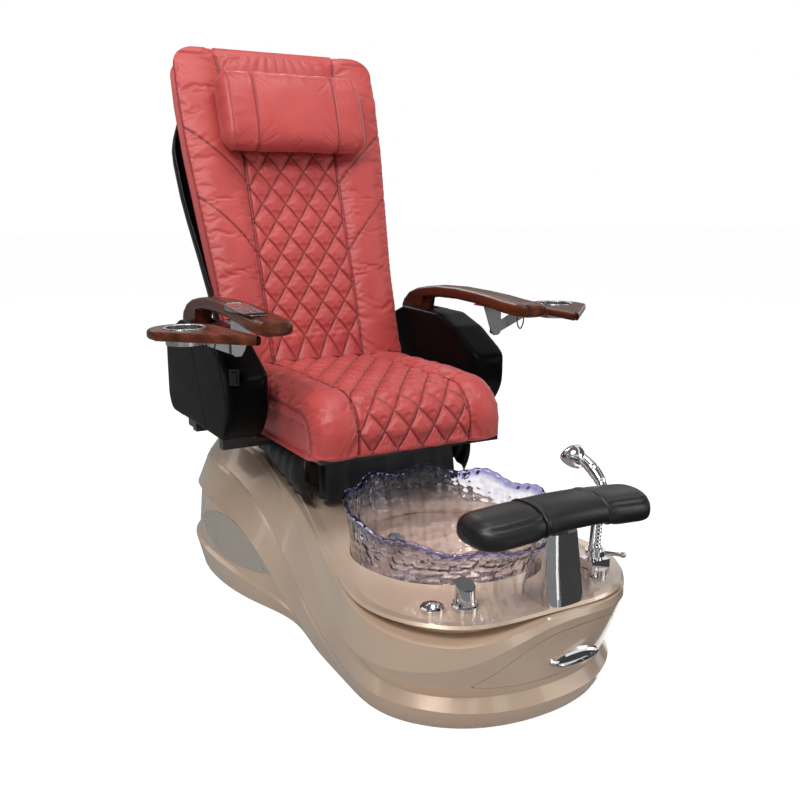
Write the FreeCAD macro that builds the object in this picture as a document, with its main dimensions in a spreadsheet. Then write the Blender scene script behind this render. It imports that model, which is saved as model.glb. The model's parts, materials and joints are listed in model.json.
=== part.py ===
import FreeCAD, Part
import math
import os
import Sketcher
from FreeCAD import Vector

# Pedicure spa chair: a moulded base with a resin foot bowl carries a sliding massage chair.
# Frame: millimetres, +Z up, the sitter looks along -Y, x = 0 is the plane of symmetry.
# "left" and "right" are the sitter's own sides, so left parts have positive x.

doc = FreeCAD.newDocument("pedicure_chair")
sheet = doc.addObject("Spreadsheet::Sheet", "sizes")
kept = []


# Driving dimensions

SIZES = {
    # moulded base
    "shell_wall": 8.0,
    "recess_depth": 13.0,
    "recess_bevel": 9.0,
    "bowl_centre_y": -390.0,
    "opening_half_x": 225.0,
    "opening_half_y": 207.0,
    "panel_gap": 1.0,
    "panel_thick": 5.0,
    # foot bowl
    "bowl_wall": 6.0,
    "rim_half_x": 236.0,
    "rim_half_y": 254.0,
    "rim_height": 346.0,
    "rim_fall": 18.0,
    "rim_wave": 7.0,
    "bowl_floor": 120.0,
    "seal_gap": 1.5,
    "basin_gap": 2.4,
    "basin_wall": 3.0,
    "drain_radius": 26.0,
    "pipe_radius": 20.0,
    "jet_radius": 24.0,
    "jet_height": 195.0,
    # chassis
    "tube_side": 30.0,
    "chassis_half": 150.0,
    "chassis_front": -560.0,
    "chassis_rear": 400.0,
    "chassis_base": 22.0,
    "post_front": 10.0,
    "post_rear": 290.0,
    "rail_base": 392.0,
    "rail_tall": 14.0,
    "rail_wide": 34.0,
    "rail_front": -8.0,
    "rail_rear": 340.0,
    "foot_radius": 22.0,
    # seat
    "seat_half": 252.0,
    "seat_front": -246.0,
    "seat_rear": 266.0,
    "seat_base": 436.0,
    "seat_top": 572.0,
    "pan_thick": 12.0,
    "seat_quilt_half": 148.0,
    "slide_travel": 100.0,
    # back
    "back_lean": 18.0,
    "back_base": 578.0,
    "back_front": 290.0,
    "back_long": 890.0,
    "back_thick": 84.0,
    "shell_depth": 66.0,
    "back_shell_wall": 4.0,
    "pivot_height": 500.0,
    "pivot_depth": 300.0,
    "pillow_half": 214.0,
    "pillow_tall": 226.0,
    "pillow_thick": 92.0,
    "pillow_low": 565.0,
    # armrests
    "arm_centre": 336.0,
    "arm_wide": 86.0,
    "arm_neck": 46.0,
    "arm_thick": 28.0,
    "arm_pivot_y": 300.0,
    "arm_pivot_z": 640.0,
    "arm_pin": 7.0,
    "pod_inner": 284.0,
    "pod_outer": 384.0,
    # cup trays
    "tray_pivot_x": 356.0,
    "tray_pivot_y": -46.0,
    "tray_pivot_z": 667.0,
    "cup_x": 498.0,
    "cup_y": -119.0,
    "cup_radius": 40.0,
    "cup_deep": 34.0,
    "tray_top": 736.0,
    "tray_thick": 20.0,
    "tray_round": 78.0,
    "plate_thick": 3.0,
    # leg rest
    "column_x": 48.0,
    "column_wide": 94.0,
    "column_deep": 106.0,
    "column_front": -752.0,
    "column_top": 374.0,
    "column_wall": 3.0,
    "pad_half": 215.0,
    "pad_deep": 128.0,
    "pad_base": 388.0,
    "pad_thick": 44.0,
    "post_side": 32.0,
    # deck fittings
    "deck_level": 240.0,
    "knob_x": -138.0,
    "knob_y": -668.0,
    "knob_radius": 21.0,
    "knob_tall": 44.0,
    "button_x": -197.0,
    "button_y": -645.0,
    "button_radius": 16.0,
    "bezel_radius": 24.0,
    "faucet_x": 188.0,
    "faucet_y": -652.0,
    "hose_radius": 7.0,
    "hose_long": 250.0,
    "clear": 0.3,
}


def cell_name(index):
    return "A%d" % (index + 1)


for number, (alias, value) in enumerate(SIZES.items()):
    sheet.set(cell_name(number), str(value))
    sheet.setAlias(cell_name(number), alias)
doc.recompute()
S = dict(SIZES)


# Document helpers

def bind(thing, prop, value):
    """Bind a property to an expression over the sheet, or set it to a number."""
    if isinstance(value, str):
        thing.setExpression(prop, value)
    else:
        setattr(thing, prop, value)


def put(thing, spot, turn=None):
    """Place an object; each coordinate is a number or an expression over the sheet."""
    turn = turn or FreeCAD.Rotation()
    numbers = [c if not isinstance(c, str) else 0.0 for c in spot]
    thing.Placement = FreeCAD.Placement(Vector(*numbers), turn)
    for axis, coordinate in zip("xyz", spot):
        if isinstance(coordinate, str):
            thing.setExpression("Placement.Base." + axis, coordinate)
    return thing


def prim(kind, name, spot=(0, 0, 0), turn=None, **props):
    thing = doc.addObject("Part::" + kind, name)
    for prop, value in props.items():
        bind(thing, prop, value)
    return put(thing, spot, turn)


def box(name, long, wide, tall, spot, turn=None):
    return prim("Box", name, spot, turn, Length=long, Width=wide, Height=tall)


def rod(name, radius, tall, spot, turn=None):
    return prim("Cylinder", name, spot, turn, Radius=radius, Height=tall)


def fuse(name, *things):
    joined = doc.addObject("Part::MultiFuse", name)
    joined.Shapes = list(things)
    return joined


def cut(name, base, tool):
    result = doc.addObject("Part::Cut", name)
    result.Base = base
    result.Tool = tool
    return result


def group(name, *things):
    """Separate solids of one kind that share a node."""
    pack = doc.addObject("Part::Compound", name)
    pack.Links = list(things)
    return pack


def shaped(name, shape, spot=None):
    thing = doc.addObject("Part::Feature", name)
    thing.Shape = shape
    if spot is not None:
        thing.Placement = spot
    return thing


def keep(thing, label):
    thing.Label = label
    kept.append(thing)
    return thing


ALONG_X = FreeCAD.Rotation(Vector(0, 1, 0), 90)
ALONG_Y = FreeCAD.Rotation(Vector(1, 0, 0), -90)


# Sketched bodies

def plane_of(body, role):
    for feature in body.Origin.OriginFeatures:
        if feature.Role == role:
            return feature
    raise ValueError(role)


def outline(sketch, corners):
    """Closed polygon whose corners are held by dimensions bound to the sheet."""
    import Sketcher
    values = []
    for x, y in corners:
        values.append((number(x), number(y)))
    count = len(corners)
    for i in range(count):
        start = Vector(values[i][0], values[i][1], 0)
        end = Vector(values[(i + 1) % count][0], values[(i + 1) % count][1], 0)
        sketch.addGeometry(Part.LineSegment(start, end), False)
    for i in range(count):
        sketch.addConstraint(Sketcher.Constraint("Coincident", i, 2, (i + 1) % count, 1))
    for i in range(count):
        for axis, rule, coordinate, value in ((-2, "DistanceX", corners[i][0], values[i][0]),
                                              (-1, "DistanceY", corners[i][1], values[i][1])):
            if abs(value) < 1e-9:
                sketch.addConstraint(Sketcher.Constraint("PointOnObject", i, 1, axis))
                continue
            index = sketch.addConstraint(Sketcher.Constraint(rule, -1, 1, i, 1, value))
            if isinstance(coordinate, str):
                sketch.setExpression("Constraints[%d]" % index, coordinate)


def number(value):
    """The value of a number or of an expression over the sheet."""
    if not isinstance(value, str):
        return float(value)
    sheet.set("Z1", "=" + value.replace("sizes.", ""))
    doc.recompute()
    return float(sheet.get("Z1"))


def padded_body(name, role, corners, length, spot=(0, 0, 0), turn=None, both=False):
    """A body whose first feature is a pad of a polygon."""
    body = doc.addObject("PartDesign::Body", name)
    sketch = body.newObject("Sketcher::SketchObject", name + "_outline")
    sketch.AttachmentSupport = [(plane_of(body, role), "")]
    sketch.MapMode = "FlatFace"
    outline(sketch, corners)
    pad = body.newObject("PartDesign::Pad", name + "_pad")
    pad.Profile = sketch
    bind(pad, "Length", length)
    pad.Midplane = both
    put(body, spot, turn)
    return body


def turned_body(name, corners, spot=(0, 0, 0), turn=None):
    """A body turned about its own Z axis from a half profile in its XZ plane."""
    body = doc.addObject("PartDesign::Body", name)
    sketch = body.newObject("Sketcher::SketchObject", name + "_profile")
    sketch.AttachmentSupport = [(plane_of(body, "XZ_Plane"), "")]
    sketch.MapMode = "FlatFace"
    outline(sketch, corners)
    turned = body.newObject("PartDesign::Revolution", name + "_turned")
    turned.Profile = sketch
    turned.ReferenceAxis = (sketch, ["V_Axis"])
    turned.Angle = 360.0
    put(body, spot, turn)
    return body


# Curves and skins

def closed_curve(points, marks):
    curve = Part.BSplineCurve()
    curve.interpolate(Points=points, PeriodicFlag=True, Parameters=marks)
    curve.setNotPeriodic()
    return curve


def even_marks(count):
    return [i / count for i in range(count + 1)]


def band(low, high):
    """Ruled surface between two closed curves that share their knots."""
    surface = Part.BSplineSurface()
    poles = [[p, q] for p, q in zip(low.getPoles(), high.getPoles())]
    surface.buildFromPolesMultsKnots(poles, low.getMultiplicities(), [2, 2], low.getKnots(),
                                     [0, 1], False, False, low.Degree, 1)
    first, last = low.FirstParameter, low.LastParameter
    middle = (first + last) / 2
    return [surface.toShape(first, middle, 0, 1), surface.toShape(middle, last, 0, 1)]


def ring_solid(curves):
    """Solid ring whose section passes through closed curves, first to last and round again."""
    faces = []
    for i, curve in enumerate(curves):
        faces += band(curve, curves[(i + 1) % len(curves)])
    return solid_of(faces)


def capped_solid(curves):
    """Solid between closed curves, with flat ends on the first and the last."""
    faces = []
    for low, high in zip(curves, curves[1:]):
        faces += band(low, high)
    faces.append(Part.Face(Part.Wire(curves[0].toShape())))
    faces.append(Part.Face(Part.Wire(curves[-1].toShape())))
    return solid_of(faces)


def solid_of(faces):
    shell = Part.makeShell(faces)
    shell.sewShape()
    if shell.ShapeType != "Shell":
        shell = Part.Shell(shell.Faces)
    solid = Part.Solid(shell)
    if solid.Volume < 0:
        solid.reverse()
    return solid


def oval(centre, half_x, half_y, power=2.0, count=24, axes=(Vector(1, 0, 0), Vector(0, 1, 0))):
    """Points of a superellipse, counted from the first axis."""
    points = []
    for i in range(count):
        angle = 2 * math.pi * i / count
        c, s = math.cos(angle), math.sin(angle)
        x = half_x * math.copysign(abs(c) ** (2 / power), c)
        y = half_y * math.copysign(abs(s) ** (2 / power), s)
        points.append(centre + axes[0] * x + axes[1] * y)
    return points


def oval_curve(*args, **kwargs):
    points = oval(*args, **kwargs)
    return closed_curve(points, even_marks(len(points)))


def spline_edge(points):
    curve = Part.BSplineCurve()
    curve.interpolate(points)
    return curve.toShape()


def mirror(shape):
    return shape.mirror(Vector(0, 0, 0), Vector(1, 0, 0))


def flat_solid(edges, depth):
    """Prism of a closed outline of edges along the vector depth."""
    return Part.Face(Part.Wire(Part.__sortEdges__(edges))).extrude(depth)


def net_solid(grid, quilt_start):
    """Closed solid of triangles over a grid of points whose rows close on themselves.

    Each row is a closed loop; the first and last row shrink to fans about their centres.
    The diagonals alternate from the row quilt_start, so that raised points make diamonds.
    """
    faces = []

    def triangle(a, b, c):
        if (b - a).cross(c - a).Length > 1e-4:
            faces.append(Part.Face(Part.makePolygon([a, b, c, a])))

    count = len(grid[0])
    for number_of_row, (low, high) in enumerate(zip(grid, grid[1:])):
        for i in range(count):
            j = (i + 1) % count
            if (number_of_row - quilt_start + i) % 2:
                triangle(low[i], low[j], high[i])
                triangle(low[j], high[j], high[i])
            else:
                triangle(low[i], low[j], high[j])
                triangle(low[i], high[j], high[i])
    for row in (grid[0], grid[-1]):
        middle = Vector(0, 0, 0)
        for point in row:
            middle = middle + point
        middle = middle * (1.0 / count)
        for i in range(count):
            triangle(middle, row[i], row[(i + 1) % count])
    return solid_of(faces)


# Moulded base: the outer skin is a fan of sections taken at stations round the plan.
# A station has a hub on the y axis and a direction; lists below run from the rear, down
# the sitter's right side, to the front. The left side mirrors them unless it is named.

STATIONS = [(200, 90), (200, 135), (200, 180), (50, 180), (-100, 180), (-250, 180),
            (-420, 180), (-420, 210), (-420, 240), (-420, 270)]
FLOOR = [405, 408, 330, 300, 260, 269, 276, 305, 317, 312]
BELLY = [430, 436, 352, 314, 278, 286, 300, 352, 372, 362]
BELLY_Z = [120, 115, 100, 80, 60, 60, 110, 145, 148, 150]
LIP = [300, 290, 204, 204, 219, 250, 287, 343, 366, 335]
LIP_Z = [388, 380, 355, 318, 281, 254, 240, 238, 236, 235]
BELLY_POWER = 0.7
CROWN_POWER = 1.7

# heights of the ribbon edges at the stations
RIM_Z = [75, 75, 70, 52, 30, 14, 6, 5, 5, 5]
ARCH_LOW = [215, 215, 211, 158, 60, 25, 13, 11, 11, 11]
ARCH_HIGH = [292, 290, 283, 231, 136, 84, 26, 18, 18, 18]
RIBBON_LOW = [301, 299, 292, 241, 153, 102, 56, 50, 46, 42]
RIBBON_HIGH = [345, 345, 342, 301, 239, 190, 130, 80, 70, 68]
FACE_TOP = [353, 353, 350, 309, 248, 200, 141, 131, 157, 210]
FACE_TOP_LEFT = [353, 353, 350, 309, 248, 200, 160, 192, 205, 210]
COVE_LOW = [360, 359, 353, 311, 274, 248, 230, 210, 196, 222]
COVE_LOW_LEFT = [360, 359, 353, 311, 274, 248, 228, 222, 222, 222]

# how far the skin stands in from its smooth form
RECESS = [2, 12, 13, 12, 6, 2, 0, 0, 0, 0]
SLIT = [4, 4, 4, 4, 4, 3, 1, 0, 0, 0]
GROOVE = [2, 2, 2, 2, 2, 2, 6, 20, 24, 24]
COVE = [2, 2, 2, 2, 3, 8, 15, 23, 27, 13]
COVE_LEFT = [2, 2, 2, 2, 3, 6, 10, 14, 13, 13]
OPENING_TURN = [90, 102, 115, 128, 142, 158, 180, 210, 240, 270]
OPENING_Z = [262, 262, 260, 258, 254, 249, 245, 242, 240, 239]
LIP_ROLL = 4.0
LIP_LAND = 26.0
STEP = 6.0


def smooth_radius(k, height):
    """Distance of the smooth form from the hub of station k at a height."""
    if height <= BELLY_Z[k]:
        share = (height / BELLY_Z[k]) ** BELLY_POWER
        return FLOOR[k] + (BELLY[k] - FLOOR[k]) * share
    share = min(1.0, (height - BELLY_Z[k]) / (LIP_Z[k] - BELLY_Z[k]))
    return LIP[k] + (BELLY[k] - LIP[k]) * (1 - share ** CROWN_POWER) ** (1 / CROWN_POWER)


def station_point(k, radius, height, side):
    hub, angle = STATIONS[k]
    turn = math.radians(angle)
    return Vector(-side * abs(radius * math.cos(turn)), hub + radius * math.sin(turn), height)


def round_base(spot_at):
    """Closed curve from a function of station and side, side 1 right and -1 left."""
    points = [spot_at(k, 1) for k in range(len(STATIONS))]
    points += [spot_at(k, -1) for k in range(len(STATIONS) - 2, 0, -1)]
    return closed_curve(points, BASE_MARKS)


def perimeter_marks():
    steps = []
    last = len(STATIONS) - 1
    for k in range(last):
        a = station_point(k, FLOOR[k], 0, 1)
        b = station_point(k + 1, FLOOR[k + 1], 0, 1)
        steps.append((b - a).Length)
    marks = [0.0]
    for step in steps + steps[::-1]:
        marks.append(marks[-1] + step)
    return marks


BASE_MARKS = perimeter_marks()


def skin_row(heights, inset=None, heights_left=None, inset_left=None, lift=0.0):
    """Row of the outer skin at listed heights, standing in by the listed insets."""
    def spot(k, side):
        z = (heights_left if side < 0 and heights_left else heights)[k] + lift
        push = 0.0
        if inset:
            push = (inset_left if side < 0 and inset_left else inset)[k]
        return station_point(k, smooth_radius(k, z) - push, z, side)
    return round_base(spot)


def cove_depth(k, side):
    return (COVE if side > 0 else COVE_LEFT)[k]


def cove_height(k, side):
    low = (COVE_LOW if side > 0 else COVE_LOW_LEFT)[k]
    return low + 0.35 * (LIP_Z[k] - low)


def opening_point(k, side, height):
    turn = math.radians(OPENING_TURN[k])
    x = S["opening_half_x"] * abs(math.cos(turn))
    return Vector(-side * x, S["bowl_centre_y"] + S["opening_half_y"] * math.sin(turn), height)


def base_skin():
    depth = [S["recess_depth"] / 13.0 * d for d in RECESS]
    bevel = S["recess_bevel"]
    wall = S["shell_wall"]
    rows = [
        round_base(lambda k, side: station_point(k, FLOOR[k], 0, side)),
        skin_row(RIM_Z),
        skin_row(RIM_Z, depth, lift=bevel * 0.5),
        skin_row(ARCH_LOW, depth, lift=-3.0),
        skin_row(ARCH_LOW),
        skin_row(ARCH_HIGH),
        skin_row([(a + b) / 2 for a, b in zip(ARCH_HIGH, RIBBON_LOW)], SLIT),
        skin_row(RIBBON_LOW),
        skin_row(RIBBON_HIGH, GROOVE),
        skin_row(RIBBON_HIGH, GROOVE, lift=STEP),
        skin_row(FACE_TOP, None, FACE_TOP_LEFT),
        skin_row(COVE_LOW, None, COVE_LOW_LEFT),
        round_base(lambda k, side: station_point(k, LIP[k] - cove_depth(k, side),
                                                 cove_height(k, side), side)),
        round_base(lambda k, side: station_point(k, LIP[k], LIP_Z[k] - STEP, side)),
        round_base(lambda k, side: station_point(k, LIP[k] - LIP_ROLL, LIP_Z[k], side)),
        round_base(lambda k, side: station_point(k, LIP[k] - LIP_LAND, LIP_Z[k] - 3, side)),
        round_base(lambda k, side: opening_point(k, side, OPENING_Z[k])),
        round_base(lambda k, side: opening_point(k, side, OPENING_Z[k] - wall)),
        round_base(lambda k, side: station_point(k, LIP[k] - COVE[k] - wall - STEP,
                                                 LIP_Z[k] - 2 * wall, side)),
        round_base(lambda k, side: station_point(
            k, smooth_radius(k, RIBBON_HIGH[k]) - GROOVE[k] - wall, RIBBON_HIGH[k] - 14, side)),
        round_base(lambda k, side: station_point(k, FLOOR[k] - wall, 0, side)),
    ]
    return ring_solid(rows)


base_skin_solid = base_skin()


def slab(outline_points, direction):
    """Prism of a smooth closed outline through a few points."""
    curve = Part.BSplineCurve()
    curve.interpolate(Points=outline_points, PeriodicFlag=True)
    return Part.Face(Part.Wire(curve.toShape())).extrude(direction)


def prism(corners, direction):
    """Prism of a polygon."""
    return Part.Face(Part.makePolygon(corners + [corners[0]])).extrude(direction)


def biggest(shape):
    return max(shape.Solids, key=lambda solid: solid.Volume)


def turn_about(point, axis, degrees):
    move = FreeCAD.Placement(Vector(0, 0, 0), FreeCAD.Rotation(axis, degrees), point)
    return move


# Rows of the foot bowl, which the deck opening follows

BOWL_MARKS = 60
RIM_LOBES = 10


def bowl_row(centre_y, half_x, half_y, level, fall=0.0, wave=0.0):
    points = []
    for i in range(BOWL_MARKS):
        turn = 2 * math.pi * i / BOWL_MARKS
        ripple = math.cos(RIM_LOBES * turn)
        swell = 1 + 0.5 * wave * ripple / half_x
        z = level + fall * math.sin(turn) + wave * ripple
        points.append(Vector(half_x * swell * math.cos(turn),
                             centre_y + half_y * swell * math.sin(turn), z))
    return closed_curve(points, even_marks(BOWL_MARKS))


# Base shell: holes for what passes through the deck, and the service opening

HOSE_WAY = Vector(0.34, 0.30, 0.89).normalize()
HOSE_TOP = Vector(S["faucet_x"] + 18, S["faucet_y"] + 4, 292)


def leaning_rod(radius, start, finish, way=HOSE_WAY, origin=HOSE_TOP):
    """Cylinder along a line, from one distance along it to another."""
    return Part.makeCylinder(radius, finish - start, origin + way * start, way)


def panel_prism(grow):
    """Prism through the front of the base along the outline of the service panel."""
    corners = [(-152, 106), (-104, 139), (-45, 174), (15, 190), (85, 193), (150, 187),
               (187, 168), (197, 132), (178, 99), (105, 87), (0, 86), (-105, 91)]
    middle_x, middle_z = 30, 135
    points = []
    for x, z in corners:
        away = Vector(x - middle_x, 0, z - middle_z).normalize() * grow
        points.append(Vector(x, -560, z) + away)
    return slab(points, Vector(0, -320, 0))


def deck_holes():
    side = S["tube_side"] + 2 * S["clear"]
    tools = []
    for x in (-S["chassis_half"], S["chassis_half"]):
        for y in (S["post_front"], S["post_rear"]):
            tools.append(Part.makeBox(side, side, 260, Vector(x - side / 2, y - side / 2, 190)))
    tools.append(Part.makeCylinder(S["button_radius"] + 1, 60,
                                   Vector(S["button_x"], S["button_y"], 200)))
    tools.append(Part.makeCylinder(7, 60, Vector(S["knob_x"], S["knob_y"], 200)))
    tools.append(leaning_rod(S["hose_radius"] + 3, -110, 20))
    gap = S["seal_gap"] - 0.4
    snug_x, snug_y = S["opening_half_x"] - gap, S["opening_half_y"] - gap
    cy = S["bowl_centre_y"]
    tools.append(capped_solid([bowl_row(cy, snug_x, snug_y, 200), bowl_row(cy, snug_x, snug_y, 224),
                               bowl_row(cy, snug_x, snug_y, 266),
                               bowl_row(cy - 8, snug_x + 6, snug_y + 22, 302)]))
    bore = S["post_side"] + 2 * S["clear"]
    tools.append(Part.makeBox(bore, bore, 60, Vector(S["column_x"] + 2 - bore / 2,
                                                      POST_Y - bore / 2, 200)))
    return tools


POST_Y = S["column_front"] + 50
shell_shape = base_skin_solid.cut(deck_holes() + [panel_prism(S["panel_gap"])])
base_shell = keep(shaped("base_shell_form", biggest(shell_shape)), "base_shell")


def on_deck(shape):
    """What stands above the deck of a shape that reaches down through it."""
    above = shape.cut(base_skin_solid)
    return max(above.Solids, key=lambda solid: solid.BoundBox.ZMax * 1000 + solid.Volume / 1000)


# Service panel with its pull, on the front of the base

def panel_band():
    thick = S["panel_thick"]
    inner = [g + thick for g in GROOVE]
    flat = [thick] * len(FLOOR)
    rows = [skin_row(RIBBON_HIGH, GROOVE, lift=STEP), skin_row(FACE_TOP, None, FACE_TOP_LEFT),
            skin_row(FACE_TOP, flat, FACE_TOP_LEFT), skin_row(RIBBON_HIGH, inner, lift=STEP)]
    return ring_solid(rows)


panel_shape = biggest(panel_band().common(panel_prism(-S["panel_gap"] / 2)))
access_panel = keep(shaped("access_panel_form", panel_shape), "access_panel")

PULL_CENTRE = Vector(66, -752, 122)
PULL_AXES = (Vector(1, 0, 0.02).normalize(), Vector(0, 0.2, 1).normalize())


def pull_shape():
    out = PULL_AXES[0].cross(PULL_AXES[1]).normalize()
    if out.y > 0:
        out = out * -1
    rows = []
    for away, half_x, half_z in ((-22, 60, 17), (2, 60, 17), (8, 55, 13), (10, 46, 9)):
        rows.append(oval_curve(PULL_CENTRE + out * away, half_x, half_z, 2.0, 24, PULL_AXES))
    solid = capped_solid(rows)
    scoop = [oval_curve(PULL_CENTRE + out * away + Vector(0, 0, -4), half_x, half_z, 2.0, 24,
                        PULL_AXES) for away, half_x, half_z in ((12, 47, 7), (3, 43, 5))]
    return biggest(solid.cut(capped_solid(scoop)).cut(panel_band()).common(
        Part.makeBox(200, 100, 120, Vector(-60, -800, 60))))


panel_pull = keep(shaped("panel_pull_form", pull_shape()), "panel_pull")


# Badge plate in the recess on the sitter's right, left bare, with its two screws

def recess_band(near, far):
    depth = S["recess_depth"] / 13.0
    inner = [depth * d - near for d in RECESS]
    outer = [depth * d - far for d in RECESS]
    lift = S["recess_bevel"] * 0.5
    return ring_solid([skin_row(RIM_Z, inner, lift=lift), skin_row(ARCH_LOW, inner, lift=-3.0),
                       skin_row(ARCH_LOW, outer, lift=-3.0), skin_row(RIM_Z, outer, lift=lift)])


def badge_leaf():
    front, rear = Vector(-200, -18, 97), Vector(-200, 372, 142)
    upper = Part.Arc(front, Vector(-200, 200, 190), rear).toShape()
    lower = Part.Arc(rear, Vector(-200, 190, 84), front).toShape()
    return Part.Face(Part.Wire([upper, lower])).extrude(Vector(-260, 0, 0))


badge_shape = biggest(recess_band(S["clear"], S["clear"] + 1.6).common(badge_leaf()))
badge_plate = keep(shaped("badge_plate_form", badge_shape), "badge_plate")


def badge_screw(y, z):
    """Low round head on the plate, found by reaching for its face along x."""
    face_x = badge_shape.common(Part.makeLine(Vector(-500, y, z), Vector(-200, y, z))).BoundBox.XMin
    head = Part.makeCylinder(5, 5, Vector(face_x - 1.8, y, z), Vector(1, 0, 0))
    head = head.fuse(Part.makeCone(5, 3, 1, Vector(face_x - 1.8, y, z), Vector(-1, 0, 0)))
    return min(head.cut(badge_shape).Solids, key=lambda solid: solid.BoundBox.XMin)


badge_screws = keep(shaped("badge_screws_form", Part.makeCompound([
    badge_screw(y, z) for y, z in ((16, 103), (338, 138))])), "badge_screws")


# Foot bowl: a clear resin bowl with a waved rim, dropped into the deck opening

def bowl_shape():
    wall = S["bowl_wall"]
    cy = S["bowl_centre_y"]
    snug_x = S["opening_half_x"] - S["seal_gap"]
    snug_y = S["opening_half_y"] - S["seal_gap"]
    rim_x, rim_y, top = S["rim_half_x"], S["rim_half_y"], S["rim_height"]
    rim_cy = cy - 16
    fall, wave = S["rim_fall"], S["rim_wave"]
    floor = S["bowl_floor"]
    outer = [(cy, 168, 150, floor, 0, 0), (cy, 198, 180, floor + 22, 0, 0),
             (cy, 214, 197, floor + 68, 0, 0), (cy, snug_x, snug_y, 224, 0, 0),
             (cy, snug_x, snug_y, 266, 0, 0), (cy - 8, snug_x + 6, snug_y + 22, 300, 6, 2),
             (rim_cy, rim_x - 6, rim_y - 8, top - 14, fall, wave)]
    rim = [(rim_cy, rim_x + 3, rim_y + 3, top - 7, fall, wave),
           (rim_cy, rim_x, rim_y, top, fall, wave),
           (rim_cy, rim_x - 10, rim_y - 10, top - 1, fall, wave)]
    rows = [bowl_row(*row) for row in outer + rim]
    for centre, half_x, half_y, level, drop, ripple in outer[:0:-1]:
        rows.append(bowl_row(centre, half_x - wall, half_y - wall, level + 1, drop, ripple))
    rows.append(bowl_row(cy, 168 - wall, 150 - wall, floor + wall))
    return capped_solid(rows)


DRAIN_SPOT = Vector(0, S["bowl_centre_y"], S["bowl_floor"])
JET_SPOT = Vector(-30, S["bowl_centre_y"] + 214, S["jet_height"])
bowl_solid = bowl_shape()
bowl_holes = [Part.makeCylinder(S["pipe_radius"] + S["clear"], 40, DRAIN_SPOT + Vector(0, 0, -20)),
              Part.makeCylinder(10 + S["clear"], 60, JET_SPOT + Vector(0, 10, 0), Vector(0, -1, 0))]
foot_bowl = keep(shaped("foot_bowl_form", biggest(bowl_solid.cut(bowl_holes))), "foot_bowl")


def basin_shape():
    """Moulded basin behind the clear bowl, hung from the rim of the deck opening."""
    cy, floor, gap, wall = S["bowl_centre_y"], S["bowl_floor"], S["basin_gap"], S["basin_wall"]
    walls = [(186, 168, floor + 8), (198, 180, floor + 22), (214, 197, floor + 68),
             (S["opening_half_x"], S["opening_half_y"], 224), (S["opening_half_x"], S["opening_half_y"], 252)]
    inner = [bowl_row(cy, x + gap, y + gap, z) for x, y, z in walls]
    outer = [bowl_row(cy, x + gap + wall, y + gap + wall, z) for x, y, z in reversed(walls)]
    port = Part.makeCylinder(18 + S["clear"], 60, JET_SPOT + Vector(0, 30, 0), Vector(0, -1, 0))
    return biggest(ring_solid(inner + outer).cut([base_skin_solid, port]))


bowl_basin = keep(shaped("bowl_basin_form", basin_shape()), "bowl_basin")

# drain strainer in the floor of the bowl, and the pipe below it
drain_strainer = keep(turned_body("drain_strainer_body", [
    (0, "sizes.bowl_wall + 0.2"), ("sizes.pipe_radius - 4", "sizes.bowl_wall + 0.2"),
    ("sizes.pipe_radius - 4", -6), ("sizes.pipe_radius - 0.1", -6),
    ("sizes.pipe_radius - 0.1", "sizes.bowl_wall + 0.2"),
    ("sizes.drain_radius", "sizes.bowl_wall + 0.2"), ("sizes.drain_radius", "sizes.bowl_wall + 2"),
    ("sizes.drain_radius - 4", "sizes.bowl_wall + 4"), (0, "sizes.bowl_wall + 4")],
    (0, "sizes.bowl_centre_y", "sizes.bowl_floor")), "drain_strainer")
pipe_outer = rod("drain_pipe_outer", "sizes.pipe_radius + 4", "sizes.bowl_floor - 60",
                 (0, "sizes.bowl_centre_y", 52.0))
pipe_elbow = rod("drain_pipe_leg", "sizes.pipe_radius + 4", 210.0,
                 (0, "sizes.bowl_centre_y", 76.0), ALONG_Y)
pipe_bore = rod("drain_pipe_bore", "sizes.pipe_radius", "sizes.bowl_floor",
                (0, "sizes.bowl_centre_y", 70.0))
pipe_long_bore = rod("drain_pipe_long_bore", "sizes.pipe_radius", 260.0,
                     (0, "sizes.bowl_centre_y", 76.0), ALONG_Y)
drain_pipe = keep(cut("drain_pipe_cut", fuse("drain_pipe_fuse", pipe_outer, pipe_elbow),
                      fuse("drain_pipe_hollow", pipe_bore, pipe_long_bore)), "drain_pipe")

# pipeless jet: a perforated cap inside the bowl, its motor behind the wall
jet_form = turned_body("jet_cap_body", [(0, 8), (15, 7), ("sizes.jet_radius", 3),
                                        ("sizes.jet_radius", -0.8), (9.8, -0.8), (9.8, -24), (0, -24)])
jet_cap = keep(cut("jet_cap_cut", jet_form, foot_bowl), "jet_cap")


def jet_wall_y():
    """Inner face of the bowl where the jet sits."""
    probe = Part.makeLine(JET_SPOT + Vector(0, -120, 0), JET_SPOT + Vector(0, 20, 0))
    hits = probe.common(bowl_solid)
    return hits.BoundBox.YMin, hits.BoundBox.YMax


JET_INNER, JET_OUTER = jet_wall_y()
put(jet_form, (JET_SPOT.x, JET_INNER - 2.5, JET_SPOT.z), FreeCAD.Rotation(Vector(1, 0, 0), 90))

jet_motor_form = cut("jet_motor_cut",
                     fuse("jet_motor_fuse",
                          rod("jet_motor_can", 34.0, 62.0, (JET_SPOT.x, JET_OUTER + 17, JET_SPOT.z), ALONG_Y),
                          rod("jet_motor_nose", 18.0, 14.0, (JET_SPOT.x, JET_OUTER + 3.5, JET_SPOT.z),
                              ALONG_Y),
                          box("jet_motor_foot", 50.0, 50.0, 14.0,
                              (JET_SPOT.x - 25, JET_OUTER + 16, JET_SPOT.z - 44))),
                     rod("jet_motor_socket", 10.1, 24.0, (JET_SPOT.x, JET_OUTER, JET_SPOT.z), ALONG_Y))
jet_motor = keep(cut("jet_motor_clear", jet_motor_form, foot_bowl), "jet_motor")


# Chassis: welded square tube inside the base, standing on four levelling feet

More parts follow.
